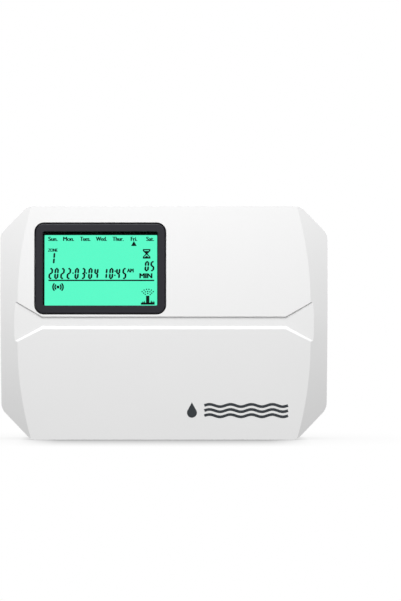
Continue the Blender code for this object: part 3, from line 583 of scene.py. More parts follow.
def cover_body(name, wall):
    """The cover's outer form, or with a wall thickness the hollow inside it."""
    corners = rounded(inset(OUTLINE, wall), CORNER_RADIUS - wall, CORNER_STEPS)
    body = extrusion(name, [corners], (COVER_FOOT + wall, FRONT + PAST))
    for point, normal in cover_faces():
        trim(body, point - normal * wall, normal)
    return body


def recess_outline(upper, lower):
    """The bow tie, from the heights of its level upper and lower edges."""
    flare = RECESS_REACH_X - RECESS_FLAT_X
    top = [(RECESS_FLAT_X, upper), (RECESS_REACH_X, upper + flare * RECESS_FLARE_UP)]
    low = [(RECESS_REACH_X, lower - flare * RECESS_FLARE_DOWN), (RECESS_FLAT_X, lower)]
    right = top + low
    return right + [(-x, z) for x, z in reversed(right)]


def recess_tool():
    """The bow tie's cutter, whose upper and lower walls open out towards the front."""
    floor = FRONT - RECESS_DEPTH
    front = FRONT + PAST
    outline = recess_outline(RECESS_TOP_Z - RECESS_DRAFT, RECESS_BOTTOM_Z)
    tool = extrusion("recess_tool", [outline], (floor, front))
    growth = (front - floor) / RECESS_DEPTH
    middle = -(floor + front) / 2 * MM
    for vertex in tool.data.vertices:
        if vertex.co.y < middle:
            spread = RECESS_DRAFT if vertex.co.z > 0 else -RECESS_BEVEL
            vertex.co.z += spread * growth * MM
    return tool


def hinge_spans():
    """Height span in mm of each hinge pin."""
    for name in ("hinge_pin_upper", "hinge_pin_lower"):
        low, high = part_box(name)
        yield name, low.z / MM, high.z / MM


def ear_spans():
    """Height span of each ear: one at each end of a hinge pin."""
    for _, low, high in hinge_spans():
        yield low, low + EAR_HEIGHT
        yield high - EAR_HEIGHT, high


def make_cover():
    cover = cover_body("front_cover_shell", 0.0)
    soften(cover, COVER_EDGE_RADIUS, 4, 11)
    apply_modifiers(cover)
    hollow = cover_body("cover_hollow", COVER_WALL)
    backing_top = RECESS_TOP_Z + COVER_WALL
    backing_low = RECESS_BOTTOM_Z - RECESS_BEVEL - COVER_WALL
    backing_floor = FRONT - RECESS_DEPTH - COVER_WALL
    backing = recess_outline(backing_top, backing_low)
    cut_out(hollow, [backing], (backing_floor, FRONT + PAST))
    combine(hollow, block("rim_tool", BEYOND, (0.0, COVER_RIM), BEYOND), "UNION")
    cut(hollow, hinge_rod("bead", BEAD_Z, BEAD_RADIUS))
    window = rectangle(DISPLAY_X, DISPLAY_Z, *grown(BEZEL_SIZE, 2 * WINDOW_GAP))
    window_tool = extrusion("window_tool", [rounded(window, BEZEL_RADIUS + WINDOW_GAP, 8)],
                            (PANEL_FRONT, FRONT + PAST))
    cut(cover, recess_tool(), hollow, window_tool)
    for low, high in ear_spans():
        span = (low - EAR_GAP, high + EAR_GAP)
        cut(cover, block("notch", (NOTCH_LEFT_X, NOTCH_RIGHT_X), NOTCH_DEPTH, span))
    for _, low, high in hinge_spans():
        middle = (low + high) / 2
        bore = (middle - COVER_BORE, middle + COVER_BORE)
        cut(cover, hinge_rod("bore", bore, PIN_HOLE_RADIUS))
    soften(cover, 0.35, 2, 20)
    finish_surface(cover, 22)
    place_piece(cover, COVER, WHITE_ABS, ["front_cover"])


# ---- display
def face_place(pivot_z, tilt):
    """Where a flat part at the origin lands on one of the cover's two faces."""
    pivot = Vector((0, -FRONT, pivot_z)) * MM
    return Matrix.Translation(pivot) @ Matrix.Rotation(tilt, 4, "X")


UPPER_PLACE = face_place(UPPER_PIVOT_Z, -PANEL_TILT)
LOWER_PLACE = face_place(LOWER_PIVOT_Z, PANEL_TILT)
DISPLAY_UP = (DISPLAY_Z - UPPER_PIVOT_Z) / cos(PANEL_TILT)
LCD_FRONT = 4.5  # below the cover's face
LCD_SIZE = (79.0, 53.0)
LCD_THICKNESS = 1.8
PANEL_SEAT = 34.3  # depth of the bezel's foot on the inner panel
BEZEL_BELOW = (0.4, 14.0)  # its face and foot, below the cover's face
BEZEL_WALL = 1.6
BEZEL_LIP = 2.0


def display_plate(name, outlines, below):
    """A plate parallel to the cover's upper face, between two distances below it.

    The outlines are measured from the middle of the display.
    """
    plate = extrusion(name, moved(outlines, DISPLAY_X, DISPLAY_UP), (-below[1], -below[0]))
    plate.data.transform(UPPER_PLACE)
    return plate


def make_bezel():
    outer = rounded(rectangle(0, 0, *BEZEL_SIZE), BEZEL_RADIUS, 10)
    bezel = display_plate("display_bezel_frame", [outer], BEZEL_BELOW)
    trim(bezel, Vector((0, -PANEL_SEAT, 0)), Vector((0, 1, 0)))
    soften(bezel, 0.7, 3, 50)
    apply_modifiers(bezel)
    inner = rectangle(0, 0, *grown(BEZEL_SIZE, -2 * BEZEL_WALL))
    cavity = rounded(inner, BEZEL_RADIUS - BEZEL_WALL, 8)
    cavity_span = (BEZEL_BELOW[0] + BEZEL_LIP, BEZEL_BELOW[1] + PAST)
    cut(bezel, display_plate("bezel_cavity", [cavity], cavity_span))
    opening = rounded(rectangle(0, 0, *BEZEL_OPENING), BEZEL_OPENING_RADIUS, 5)
    cut(bezel, display_plate("bezel_opening", [opening], (-PAST, PAST)))
    soften(bezel, 0.25, 2, 50)
    finish_surface(bezel)
    place_piece(bezel, HOUSING, BEZEL_PLASTIC, ["display_bezel"])


def make_lcd():
    # the dark glass round the field is partly the display's border, partly painted shade at the
    # top and left
    glass = display_plate("lcd_glass", [rounded(rectangle(0, 0, *LCD_SIZE), 2.0)],
                          (LCD_FRONT, LCD_FRONT + LCD_THICKNESS))
    soften(glass, 0.2, 2)
    place_piece(glass, HOUSING, LCD_BORDER_AND_SHADE, ["lcd_panel"])
    field = display_plate("lcd_field", [rounded(rectangle(*LCD_FIELD), 0.4, 2)],
                          FIELD_BELOW)
    place_piece(field, HOUSING, LCD_GLOW)
    paint_node("display_lens", LENS_CLEAR)


# ---- marks on the display
# Places are measured from the middle of the display, to the right and up.
# The lit field sits right of and below the glass's middle, so the glass's dark border shows wider
# at the top and left of the opening: partly the display's own border, partly painted shade for the
# shadow of the bezel's top and left walls.
LCD_FIELD = (0.3, -1.0, 72.8, 45.6)
FIELD_BELOW = (LCD_FRONT - 0.09, LCD_FRONT - 0.01)
MARKS_RISE = 0.4
WEEKDAY_PLACE = (19.0, 2.7, 0.19)  # middle height, height, weight
MARKS_BELOW = (LCD_FRONT - 0.17, LCD_FRONT - 0.1)
DIGIT_LEAN = 0.08
DIGIT_STROKE = 1.16
SPRAY_SPREAD = radians(95)
DIGIT_BARS = {"0": "abcdef", "1": "bc", "2": "abged", "3": "abgcd", "4": "fgbc", "5": "afgcd"}
DIGITS = [  # digits, their left edges, middle height, width, height
    ("1", (-32.2,), 6.5, 2.8, 8.2),
    ("0", (28.6,), 1.3, 2.9, 6.8),
    ("5", (32.2,), 1.3, 2.8, 6.8),
    ("20220304", (-33.5, -29.8, -25.9, -21.8, -16.7, -12.5, -7.9, -4.1), -3.45, 2.8, 7.4),
    ("1045", (1.7, 5.6, 10.0, 14.1), -3.45, 2.8, 7.4),
]
WEEKDAYS = [  # text, middle, width
    ("Sun.", -30.7, 5.8), ("Mon.", -20.6, 6.8), ("Tues.", -9.8, 6.4), ("Wed.", 0.6, 6.8),
    ("Thur.", 11.4, 7.0), ("Fri.", 21.7, 3.9), ("Sat.", 32.2, 4.8),
]
WORDS = [  # text, middle, size, weight
    *[(text, (across, WEEKDAY_PLACE[0]), (width, WEEKDAY_PLACE[1]), WEEKDAY_PLACE[2])
      for text, across, width in WEEKDAYS],
    ("ZONE", (-30.8, 11.7), (6.0, 2.1), 0.15), ("MIN", (29.4, -4.9), (7.9, 3.2), 0.29),
    ("AM", (19.35, -1.5), (4.0, 2.5), 0.22),
]
MARK_LINE = 0.9  # size of a dot and width of the rule
DOTS = [(-17.7, -3.2), (-9.1, -3.2), (9.55, -1.9), (9.35, -4.6)]
RULE_MIDDLE = (0.6, -7.9)
RULE_LENGTH = 68.4
TRIANGLE = [(19.8, 14.4), (23.5, 14.4), (21.65, 17.6)]


def bar(start, end, width):
    """A bar with pointed ends between two points."""
    first = Vector(start)
    last = Vector(end)
    shoulder = (last - first).normalized() * (width / 2)
    side = Vector((-shoulder.y, shoulder.x))
    return [first, first + shoulder - side, last - shoulder - side,
            last, last - shoulder + side, first + shoulder + side]


def digit_outlines(digit, middle, width, height):
    """The lit bars of a seven-segment digit, which leans a little; its left edge is at 0."""
    near = DIGIT_STROKE / 2
    far = width - near
    top = height / 2 - near
    ends = {"a": ((near, top), (far, top)), "b": ((far, top), (far, 0)),
            "c": ((far, 0), (far, -top)), "d": ((near, -top), (far, -top)),
            "e": ((near, 0), (near, -top)), "f": ((near, top), (near, 0)),
            "g": ((near, 0), (far, 0))}
    outlines = []
    for letter in DIGIT_BARS[digit]:
        points = bar(*ends[letter], DIGIT_STROKE)
        outlines.append([(x + DIGIT_LEAN * z, middle + z) for x, z in points])
    return outlines


def hourglass_outlines():
    """An hourglass with its sand half run, about 5 mm wide and 6 mm high."""
    glass = [(2.45, 3.1), (2.45, 1.9), (0.6, 0.0), (2.45, -1.9), (2.45, -3.1)]
    glass += [(-across, up) for across, up in reversed(glass)]
    empty_top = rectangle(0.0, 2.1, 2.9, 0.5)
    empty_low = [(-1.5, -2.3), (-1.5, -1.8), (0.0, -0.5), (1.5, -1.8), (1.5, -2.3), (0.0, -1.2)]
    return [glass, empty_top, empty_low]


def signal_outlines():
    """A dot between two pairs of arcs that spread from it."""
    outlines = [circle(0.0, 0.0, 0.95, 16)]
    for radius, spread in ((1.95, 0.9), (3.3, 0.8)):
        for facing in (0.0, pi):
            line = arc(0.0, 0.0, radius, facing - spread, facing + spread, 10)
            outlines.append(stroke(line, 0.97))
    return outlines


def sprinkler_outlines():
    """A sprinkler head in grass, with its spray as dots in a fan."""
    grass = [(-4.4, -5.1), (4.5, -5.1), (4.5, -2.6), (4.0, -3.8), (3.5, -2.4), (2.9, -3.8),
             (2.3, -2.2), (1.7, -3.8), (1.1, -3.8), (1.1, 0.7), (-1.1, 0.7), (-1.1, -3.8),
             (-1.7, -3.8), (-2.2, -2.4), (-2.8, -3.8), (-3.3, -2.9), (-3.7, -3.8), (-4.4, -3.8)]
    outlines = [grass]
    for ring, count in ((2.2, 3), (3.5, 5), (4.9, 6)):
        for step in range(count):
            angle = pi / 2 + SPRAY_SPREAD * (step / (count - 1) - 0.5)
            outlines.append(circle(ring * cos(angle), ring * sin(angle), 0.45, 8))
    return outlines


def lettering(text, middle, size, span, weight):
    """Text as a solid that fills a rectangle of (x, z), over a span of depth.

    The weight in mm thickens the strokes to both sides.
    """
    curve = bpy.data.curves.new(text, "FONT")
    adjust(curve, body=text, extrude=0.1)
    guide = add_object(text + "_outline", curve)
    mesh = baked_mesh(guide)
    discard(guide)
    low = Vector([min(v.co[k] for v in mesh.vertices) for k in range(3)])
    high = Vector([max(v.co[k] for v in mesh.vertices) for k in range(3)])
    extent = high - low
    scale = Matrix.Diagonal((size[0] / extent.x * MM, size[1] / extent.y * MM,
                             (span[1] - span[0]) / extent.z * MM, 1.0))
    centre = Vector((middle[0], -(span[0] + span[1]) / 2, middle[1])) * MM
    mesh.transform(Matrix.Translation(centre) @ Matrix.Rotation(pi / 2, 4, "X") @ scale
                   @ Matrix.Translation(-(low + high) / 2))
    copies = []
    for shift in (-weight, 0.0, weight):
        copy = mesh.copy()
        copy.transform(Matrix.Translation((shift * MM, 0.0, 0.0)))
        copies.append(add_object(text, copy))
    return merge(text, copies)


def make_display_marks():
    outlines = [rectangle(x, z, MARK_LINE, MARK_LINE) for x, z in DOTS]
    outlines += [rectangle(*RULE_MIDDLE, RULE_LENGTH, MARK_LINE), TRIANGLE]
    outlines += moved(hourglass_outlines(), 29.9, 9.3)
    outlines += moved(signal_outlines(), -27.4, -12.2)
    outlines += moved(sprinkler_outlines(), 30.6, -18.5)
    shapes = [display_plate("lcd_shapes", moved(outlines, 0.0, MARKS_RISE), MARKS_BELOW)]
    for digits, edges, *place in DIGITS:
        for digit, left in zip(digits, edges):
            for outline in moved(digit_outlines(digit, *place), left, MARKS_RISE):
                shapes.append(display_plate("bar", [outline], MARKS_BELOW))
    for text, (across, up), size, weight in WORDS:
        word = lettering(text, (DISPLAY_X + across, DISPLAY_UP + up + MARKS_RISE), size,
                         (-MARKS_BELOW[1], -MARKS_BELOW[0]), weight)
        word.data.transform(UPPER_PLACE)
        shapes.append(word)
    place_piece(merge("lcd_marks", shapes), HOUSING, LCD_INK)


# ---- emblem on the cover
EMBLEM_Z = -56.5
EMBLEM_SPAN = (-0.05, 0.06)  # above and below the cover's lower face
DROP_X = 18.0
DROP_RADIUS = 3.2
DROP_SINK = 1.4  # of its round foot below the middle
DROP_REACH = 2.1  # from foot to point, in radii
WAVE_X = (26.0, 80.0)
WAVE_LENGTH = 13.5
WAVE_HEIGHT = 0.75
WAVE_RISE = 3.3
WAVE_WIDTH = 1.75
WAVE_STEPS = 72


def drop_outlines(x, z, radius):
    """A water drop: a round foot that runs up to a point."""
    lean = acos(1.0 / DROP_REACH)
    foot = arc(0.0, 0.0, radius, pi / 2 - lean, -pi * 1.5 + lean, 24)
    return moved([foot + [(0.0, DROP_REACH * radius)]], x, z)


def wave_line(z):
    left, right = WAVE_X
    points = []
    for step in range(WAVE_STEPS + 1):
        x = left + (right - left) * step / WAVE_STEPS
        points.append((x, z + WAVE_HEIGHT * sin(2 * pi * (x - left) / WAVE_LENGTH)))
    return points


def make_emblem():
    """A water drop and three waves, printed on the lower face."""
    middle = (EMBLEM_Z - LOWER_PIVOT_Z) / cos(PANEL_TILT)
    outlines = drop_outlines(DROP_X, middle - DROP_SINK, DROP_RADIUS)
    for rise in (-WAVE_RISE, 0.0, WAVE_RISE):
        outlines.append(stroke(wave_line(middle + rise), WAVE_WIDTH))
    emblem = extrusion("cover_emblem", outlines, EMBLEM_SPAN)
    emblem.data.transform(LOWER_PLACE)
    place_piece(emblem, COVER, PRINT_GREY)


# ---- rear case
LABEL_FIELD = (0.0, 5.0, 62.0, 38.0)
FIELD_DEPTH = 0.5
FIELD_RADIUS = 3.0
KEYHOLE_FIELD_MARGIN = 2.6
CABLE_HOLE_RADIUS = 4.0
CABLE_FIELD_MARGIN = 5.0
PAD_X = 84.0
PAD_Z = 30.0
PAD_RADII = (4.0, 3.4)
PAD_RING_DEPTH = 0.25
GROOVE_Z = 58.0
GROOVE_SIZE = (2.0, 14.0)
GROOVE_PITCH = 6.0
GROOVES_EACH_SIDE = 4
GROOVE_DEPTH = 0.9
EAR_NECK = 0.8  # half widths of the ear's neck and foot
EAR_FOOT = 2.5
EAR_DEPTH = (1.5, 14.5, 16.2)  # of the foot's two ends and of the neck
CASE_INNER_RADIUS = 3.0
SWING_RELIEF = [(-109.0, 13.3), (-101.6, 17.5), (-98.5, 17.5), (-98.5, 26.0), (-109.0, 26.0)]
SWING_RELIEF_Z = (-60.0, 64.0)
CATCH_TONGUE = [(98.4, 1.4), (104.0, 1.4), (104.0, 16.0), (102.0, 18.0), (102.0, 23.0),
                (102.7, 24.0), (101.6, 27.0), (100.0, 27.0), (100.0, 6.0)]
CATCH_Z = (-9.0, 9.0)
BORE_RADIUS = 1.6
POSTS = [  # places across and up, radius, and depths of the foot, the top and the bore's bottom
    (BOARD_SCREW_X, BOARD_SCREW_Z, 3.2, 1.2, BOARD_DEPTH - GAP, 3.5),
    (POST_X, POST_Z, POST_RADIUS, 1.3, PANEL_FRONT - PANEL_THICKNESS - GAP, 20.0),
]
EAR_BORE_REACH = 2.0
CABLE_SLOT_Z = (-80.0, -65.0)
SLEEVE_Z = (-75.2, -71.8)
LIP_Z = (-72.2, -71.0)


def keyhole(centre_x, margin=0.0):
    """A round hole with a narrower slot above it, or its outline grown by a margin."""
    radius = KEYHOLE_RADIUS + margin
    slot = KEYHOLE_SLOT + margin
    opening = asin(slot / radius)
    lower = arc(centre_x, KEYHOLE_Z, radius, pi / 2 + opening, pi * 2.5 - opening, 30)
    upper = arc(centre_x, KEYHOLE_Z + KEYHOLE_RISE, slot, 0.0, pi, 14)
    return lower + upper


def ear_outline():
    """A hinge ear in (x, depth): a round head on a neck that widens to a foot."""
    foot_depth, foot_top, neck_depth = EAR_DEPTH
    foot_x = HINGE_X - EAR_FOOT
    start = -pi + acos(EAR_NECK / EAR_RADIUS)
    head = arc(HINGE_X, HINGE_DEPTH, EAR_RADIUS, start, -2 * pi, 28)
    base = [(HINGE_X + EAR_RADIUS, foot_depth), (foot_x, foot_depth), (foot_x, foot_top),
            (HINGE_X - EAR_NECK, neck_depth)]
    return head + base


def on_both_sides(x, heights, radius):
    return [circle(side * x, z, radius) for side in (-1, 1) for z in heights]


def make_rear_case():
    outline = rounded(OUTLINE, CORNER_RADIUS, CORNER_STEPS)
    case = extrusion("rear_case_shell", [outline], (0.0, CASE_RIM))
    soften(case, 0.8, 3, 60)
    apply_modifiers(case)
    hollow = rounded(inset(OUTLINE, CASE_WALL), CASE_INNER_RADIUS)
    cut_out(case, [hollow], (CASE_FLOOR, CASE_RIM + PAST))
    cut_out(case, [SWING_RELIEF], SWING_RELIEF_Z, upright=True)
    for x, heights, radius, foot, top, _ in POSTS:
        build_on(case, on_both_sides(x, heights, radius), (foot, top))
    for span in ear_spans():
        build_on(case, [ear_outline()], span, upright=True)
    build_on(case, [CATCH_TONGUE], CATCH_Z, upright=True)
    for _, low, high in hinge_spans():
        bore = (low - EAR_BORE_REACH, high + EAR_BORE_REACH)
        cut(case, hinge_rod("bore", bore, PIN_HOLE_RADIUS))
    slot = cable_slot(0.0, 0.0, CABLE_HOLE_RADIUS)
    cut_out(case, [slot], CABLE_SLOT_Z, upright=True)
    for x, heights, _, _, top, bottom in reversed(POSTS):
        cut_out(case, on_both_sides(x, heights, BORE_RADIUS), (bottom, top + PAST))
    cable_hole = rounded(rectangle(*REAR_CABLE_HOLE), CABLE_HOLE_RADIUS)
    holes = [keyhole(-KEYHOLE_X), keyhole(KEYHOLE_X), cable_hole]
    cut_out(case, holes, (-PAST, CASE_FLOOR + PAST))
    cut_back_relief(case)
    soften(case, 0.3, 2, 40)
    finish_surface(case, 30)
    place_piece(case, HOUSING, WHITE_ABS, ["rear_case"])


def cut_back_relief(case):
    """Shallow fields in the outside of the back, round the holes and the blank label field."""
    fields = [keyhole(side * KEYHOLE_X, KEYHOLE_FIELD_MARGIN) for side in (-1, 1)]
    fields.append(rounded(rectangle(*LABEL_FIELD), FIELD_RADIUS))
    across, up, *size = REAR_CABLE_HOLE
    cable_field = rectangle(across, up, *grown(size, CABLE_FIELD_MARGIN))
    fields.append(rounded(cable_field, 2 * FIELD_RADIUS))
    cut_out(case, fields, (-PAST, FIELD_DEPTH))
    rings = [ring for radius in PAD_RADII
             for ring in on_both_sides(PAD_X, (-PAD_Z, 0.0, PAD_Z), radius)]
    cut_out(case, rings, (-PAST, PAD_RING_DEPTH))
    for across in range(-GROOVES_EACH_SIDE, GROOVES_EACH_SIDE + 1):
        groove = rounded(rectangle(across * GROOVE_PITCH, GROOVE_Z, *GROOVE_SIZE), 0.95)
        cut_out(case, [groove], (-PAST, GROOVE_DEPTH))


def cable_slot(longer, wider, radius, steps=6):
    """The bottom cable slot in (x, depth), made longer and wider by so much."""
    near, far = CABLE_SLOT_DEPTH
    size = (2 * CABLE_SLOT_X + longer, far - near + wider)
    return rounded(rectangle(0.0, (near + far) / 2, *size), radius, steps)


def make_grommet():
    """A rubber edging that lines the bottom cable slot, with a lip on the inside."""
    sleeve = cable_slot(-0.6, -0.6, 3.7, 10)
    passage = cable_slot(-4.2, -4.2, 2.0, 10)
    lip = cable_slot(4.0, 3.2, 5.5, 10)
    grommet = extrusion("cable_grommet_ring", [sleeve, passage], SLEEVE_Z, upright=True)
    build_on(grommet, [lip, passage], LIP_Z, upright=True)
    soften(grommet, 0.35, 3, 50)
    finish_surface(grommet)
    place_piece(grommet, HOUSING, GROMMET_RUBBER, ["cable_grommet"])


def make_hinge_pins():
    for name, low, high in hinge_spans():
        pin = hinge_rod(name + "_steel", (low, high), PIN_RADIUS)
        soften(pin, 0.3, 2, 50)
        finish_surface(pin)
        place_piece(pin, HOUSING, STEEL, [name])


# ---- inner panel and keys
KEY_FIELD_RADIUS = 28.5
KEY_FIELD_DEPTH = 0.6
PRINT_THICKNESS = 0.06
PANEL_RADII = (3.0, 1.5)  # of its corners outside and inside
SHELF_INSET = 0.6
PANEL_HOLE_RADIUS = 1.7
KEY_FLANGE_WIDTH = 1.2
KEY_STEM_RADIUS = 2.2
KEY_EDGE = [(0.7, 0.5), (0.2, 0.95), (0.0, 1.6)]  # from the side and from the top
RING_RADII = (3.0, 2.1)
ARROW_RADIUS = 2.6
PRINT_Z = -28.9


def key_positions():
    for name, (across, up) in KEYS.items():
        radius = KEY_LARGE_RADIUS if name == "ok" else KEY_SMALL_RADIUS
        yield name, KEYS_X + across * KEY_PITCH, KEYS_Z + up * KEY_PITCH, radius


def make_control_panel():
    outline = rounded(inset(OUTLINE, PANEL_INSET), PANEL_RADII[0])
    panel = extrusion("control_panel_shell", [outline], (PANEL_BACK_RIM, PANEL_FRONT))
    trim(panel, Vector((0, 0, PANEL_BOTTOM_Z)), Vector((0, 0, -1)))
    soften(panel, 0.9, 3, 60)
    apply_modifiers(panel)
    inner = rounded(inset(OUTLINE, PANEL_INSET + PANEL_SKIRT), PANEL_RADII[1])
    hollow = extrusion("panel_hollow", [inner],
                       (PANEL_BACK_RIM - PAST, PANEL_FRONT - PANEL_THICKNESS))
    trim(hollow, Vector((0, 0, PANEL_BOTTOM_Z + PANEL_SKIRT)), Vector((0, 0, -1)))
    cut(panel, hollow)
    half_width = OUTLINE[1][0] - PANEL_INSET - SHELF_INSET
    shelf = block("terminal_shelf", (-half_width, half_width), SHELF_DEPTH, SHELF_Z)
    combine(panel, shelf, "UNION")
    key_field = circle(KEYS_X, KEYS_Z, KEY_FIELD_RADIUS, 96)
    front = PANEL_FRONT + PAST
    cut_out(panel, [key_field], (PANEL_FRONT - KEY_FIELD_DEPTH, front))
    openings = [circle(x, z, radius + GAP, 48) for _, x, z, radius in key_positions()]
    openings += on_both_sides(POST_X, POST_Z, PANEL_HOLE_RADIUS)
    openings.append(rectangle(*PIN_STRIP_OPENING))
    cut_out(panel, openings, (PANEL_FRONT - PAST, front))
    soften(panel, 0.3, 2, 40)
    finish_surface(panel)
    place_piece(panel, HOUSING, GREY_ABS, ["control_panel"])


def key_icon(name, x, z):
    """The outlines of a key's mark: an arrowhead, or a ring on the middle key."""
    if name == "ok":
        return [circle(x, z, radius) for radius in RING_RADII]
    across, up = KEYS[name]
    turn = atan2(up, across)
    corners = arc(x, z, ARROW_RADIUS, turn, turn + 2 * pi, 3)[:-1]
    return [rounded(corners, 0.4, 3)]


def make_keys():
    """Domed rubber keys, each with a flange behind the panel and a stem over its switch."""
    for name, x, z, radius in key_positions():
        flange = radius + KEY_FLANGE_WIDTH
        profile = [(0.0, KEY_TOP), (radius * 0.45, KEY_TOP - 0.05), (radius * 0.7, KEY_TOP - 0.2)]
        profile += [(radius - side, KEY_TOP - drop) for side, drop in KEY_EDGE]
        profile += [(radius, KEY_FLANGE[1]), (flange, KEY_FLANGE[1]), (flange, KEY_FLANGE[0]),
                    (KEY_STEM_RADIUS, KEY_FLANGE[0]), (KEY_STEM_RADIUS, KEY_STEM_BOTTOM),
                    (0.0, KEY_STEM_BOTTOM)]
        body = "key_" + name
        key = turned(body + "_cap", profile, x, z, 56)
        finish_surface(key)
        place_piece(key, body, KEY_RUBBER, ["button_" + name])
        mark = extrusion(body + "_mark", key_icon(name, x, z), (KEY_TOP - 0.2, KEY_TOP + 0.04))
        place_piece(mark, body, PRINT_WHITE)


def make_panel_print():
    """Zone numbers, a sensor drop and mains waves over the terminals they name."""
    front = (SHELF_DEPTH[1] - 0.02, SHELF_DEPTH[1] + PRINT_THICKNESS)
    marks = []
    for zone in range(ZONES):
        width = 0.9 if zone == 0 else 1.8
        marks.append(lettering(str(zone + 1), (pole_x("valves", zone), PRINT_Z), (width, 2.8),
                               front, 0.06))
    outlines = [rectangle(pole_x("valves", pole), PRINT_Z, 2.6, 0.6)
                for pole in (ZONES, ZONES + 1)]
    middle = pole_x("valves", (ZONES - 1) / 2)
    outlines.append(rectangle(middle, PRINT_Z + 2.9, (ZONES - 0.4) * TERMINAL_PITCH, 0.35))
    for pole in (0, 1):
        x = pole_x("power", pole)
        line = [(x + k * 0.25, PRINT_Z + 0.6 * sin(k * pi / 6)) for k in range(-6, 7)]
        outlines.append(stroke(line, 0.45))
    for pole in (2, 3):
        outlines += drop_outlines(pole_x("power", pole), PRINT_Z - 0.4, 0.9)
    marks.append(extrusion("symbols", outlines, front))
    place_piece(merge("panel_print", marks), HOUSING, PRINT_GREY)


# ---- screws and terminals
HEAD_HEIGHT = 2.0
HEAD_EDGE = [(0.45, 0.04), (0.75, 0.25), (0.93, 0.65), (1.0, 1.2)]  # share of radius, drop
SHANK_RADIUS = 1.4
SHANK_TIP_RADIUS = 0.5
SHANK_TIP = 1.0
CROSS_ARM = 0.22  # half width and reach of the cross, as shares of the radius
CROSS_REACH = 0.62
CROSS_DEPTH = 1.1
WELL_RADIUS = 2.0
WELL_DEPTH = 4.0
SEAM_DEPTH = 0.6
ENTRY_HEIGHT = 6.0
SEAM = (-36.4, 0.4, 12.0)  # middle height, width, length
ENTRY = (15.8, 3.4, 3.6)  # middle depth, width, length
TERMINAL_SCREW = [(0.0, 22.6), (1.2, 22.6), (1.55, 22.45), (1.75, 22.1), (1.75, 20.8),
                  (0.0, 20.8)]
SLOT_SIZE = (6.0, 0.6)
SLOT_DEPTH = (22.0, 24.0)
CLAMPS = [  # half width, depths, heights
    (1.6, (14.2, 17.4), (-36.3, -35.6)), (1.5, (17.0, 17.5), (-40.6, -35.7)),
]
LEG_SHIFTS = (-1.2, 0.0, 1.2)
LEG_Z = (-26.3, -25.9)
TRANSISTOR_RADIUS = 2.2
TRANSISTOR_Z = (-28.5, -24.0)
CHIP_PLACES = [(x, -39.0) for x in (-80, -70, -37, 28, 40, 52, 64, 76)]


def cross_recess(radius, front):
    """The cross-shaped cutter of a screw head."""
    arm = radius * CROSS_ARM
    reach = radius * CROSS_REACH
    corners = [(reach, arm), (arm, arm), (arm, reach)]
    outline = []
    for _ in range(4):
        outline += corners
        corners = [(-z, x) for x, z in corners]
    return extrusion("cross", [outline], (front - CROSS_DEPTH, front + PAST))


def screw_head_mesh(name, front, radius, shank):
    """A pan-head screw on its own axis, with a cross recess and a rounded head."""
    under = front - HEAD_HEIGHT
    tip = under - shank
    profile = [(0.0, front)] + [(radius * share, front - drop) for share, drop in HEAD_EDGE]
    profile += [(radius, under), (SHANK_RADIUS, under), (SHANK_RADIUS, tip + SHANK_TIP),
                (SHANK_TIP_RADIUS, tip), (0.0, tip)]
    screw = turned(name, profile)
    cut(screw, cross_recess(radius, front))
    finish_surface(screw, 35)
    return screw


def place_copies(template, spots):
    """One copy of the template at each (node name, x, z), in the node's place."""
    for node, x, z in spots:
        copy = template.copy()
        copy.name = node + "_head"
        copy.location = Vector((x, 0.0, z)) * MM
        bpy.context.scene.collection.objects.link(copy)
        place_piece(copy, HOUSING, STEEL, [node])
    discard(template)


def make_screws():
    for kind, x, heights, front, radius, shank in (
            ("panel_screw_", POST_X, POST_Z, PANEL_FRONT + GAP + HEAD_HEIGHT, 2.9, 9.0),
            ("board_screw_", BOARD_SCREW_X, BOARD_SCREW_Z, ON_BOARD + HEAD_HEIGHT, 2.7, 7.0)):
        spots = [(side * x, z) for z in reversed(heights) for side in (-1, 1)]
        named = [(f"{kind}{number}", *spot) for number, spot in enumerate(spots, 1)]
        place_copies(screw_head_mesh(kind, front, radius, shank), named)


def terminal_poles():
    for row, (_, count) in TERMINAL_BLOCKS.items():
        for pole in range(count):
            yield row, pole + 1, pole_x(row, pole)


def make_terminals():
    """Screw terminal rows: wires go in from below, screws are turned from the front."""
    for row, (left, count) in TERMINAL_BLOCKS.items():
        right = left + 2 * TERMINAL_MARGIN + count * TERMINAL_PITCH
        body = block(f"terminal_{row}_body", (left, right), (ON_BOARD, TERMINAL_FRONT), TERMINAL_Z)
        middles = [x for name, _, x in terminal_poles() if name == row]
        wells = [circle(x, TERMINAL_WELL_Z, WELL_RADIUS) for x in middles]
        seams = [rectangle(x + TERMINAL_PITCH / 2, *SEAM) for x in middles[:-1]]
        entries = [rounded(rectangle(x, *ENTRY), 0.5, 3) for x in middles]
        front = TERMINAL_FRONT + PAST
        cut_out(body, wells, (TERMINAL_FRONT - WELL_DEPTH, front))
        cut_out(body, seams, (TERMINAL_FRONT - SEAM_DEPTH, front))
        bottom = TERMINAL_Z[0]
        cut_out(body, entries, (bottom - PAST, bottom + ENTRY_HEIGHT), upright=True)
        soften(body, 0.25, 2, 50)
        finish_surface(body)
        place_piece(body, HOUSING, TERMINAL_GREEN, ["terminal_block_" + row])
    screw = turned("terminal_screw", TERMINAL_SCREW, steps=28)
    cut_out(screw, [rectangle(0.0, 0.0, *SLOT_SIZE)], SLOT_DEPTH)
    finish_surface(screw, 35)
    place_copies(screw, [(f"terminal_screw_{row}_{number}", x, TERMINAL_WELL_Z)
                         for row, number, x in terminal_poles()])
    clamps = [block("clamp", (x - half, x + half), depths, heights)
              for _, _, x in terminal_poles() for half, depths, heights in CLAMPS]
    place_piece(merge("terminal_clamps", clamps), HOUSING, STEEL)


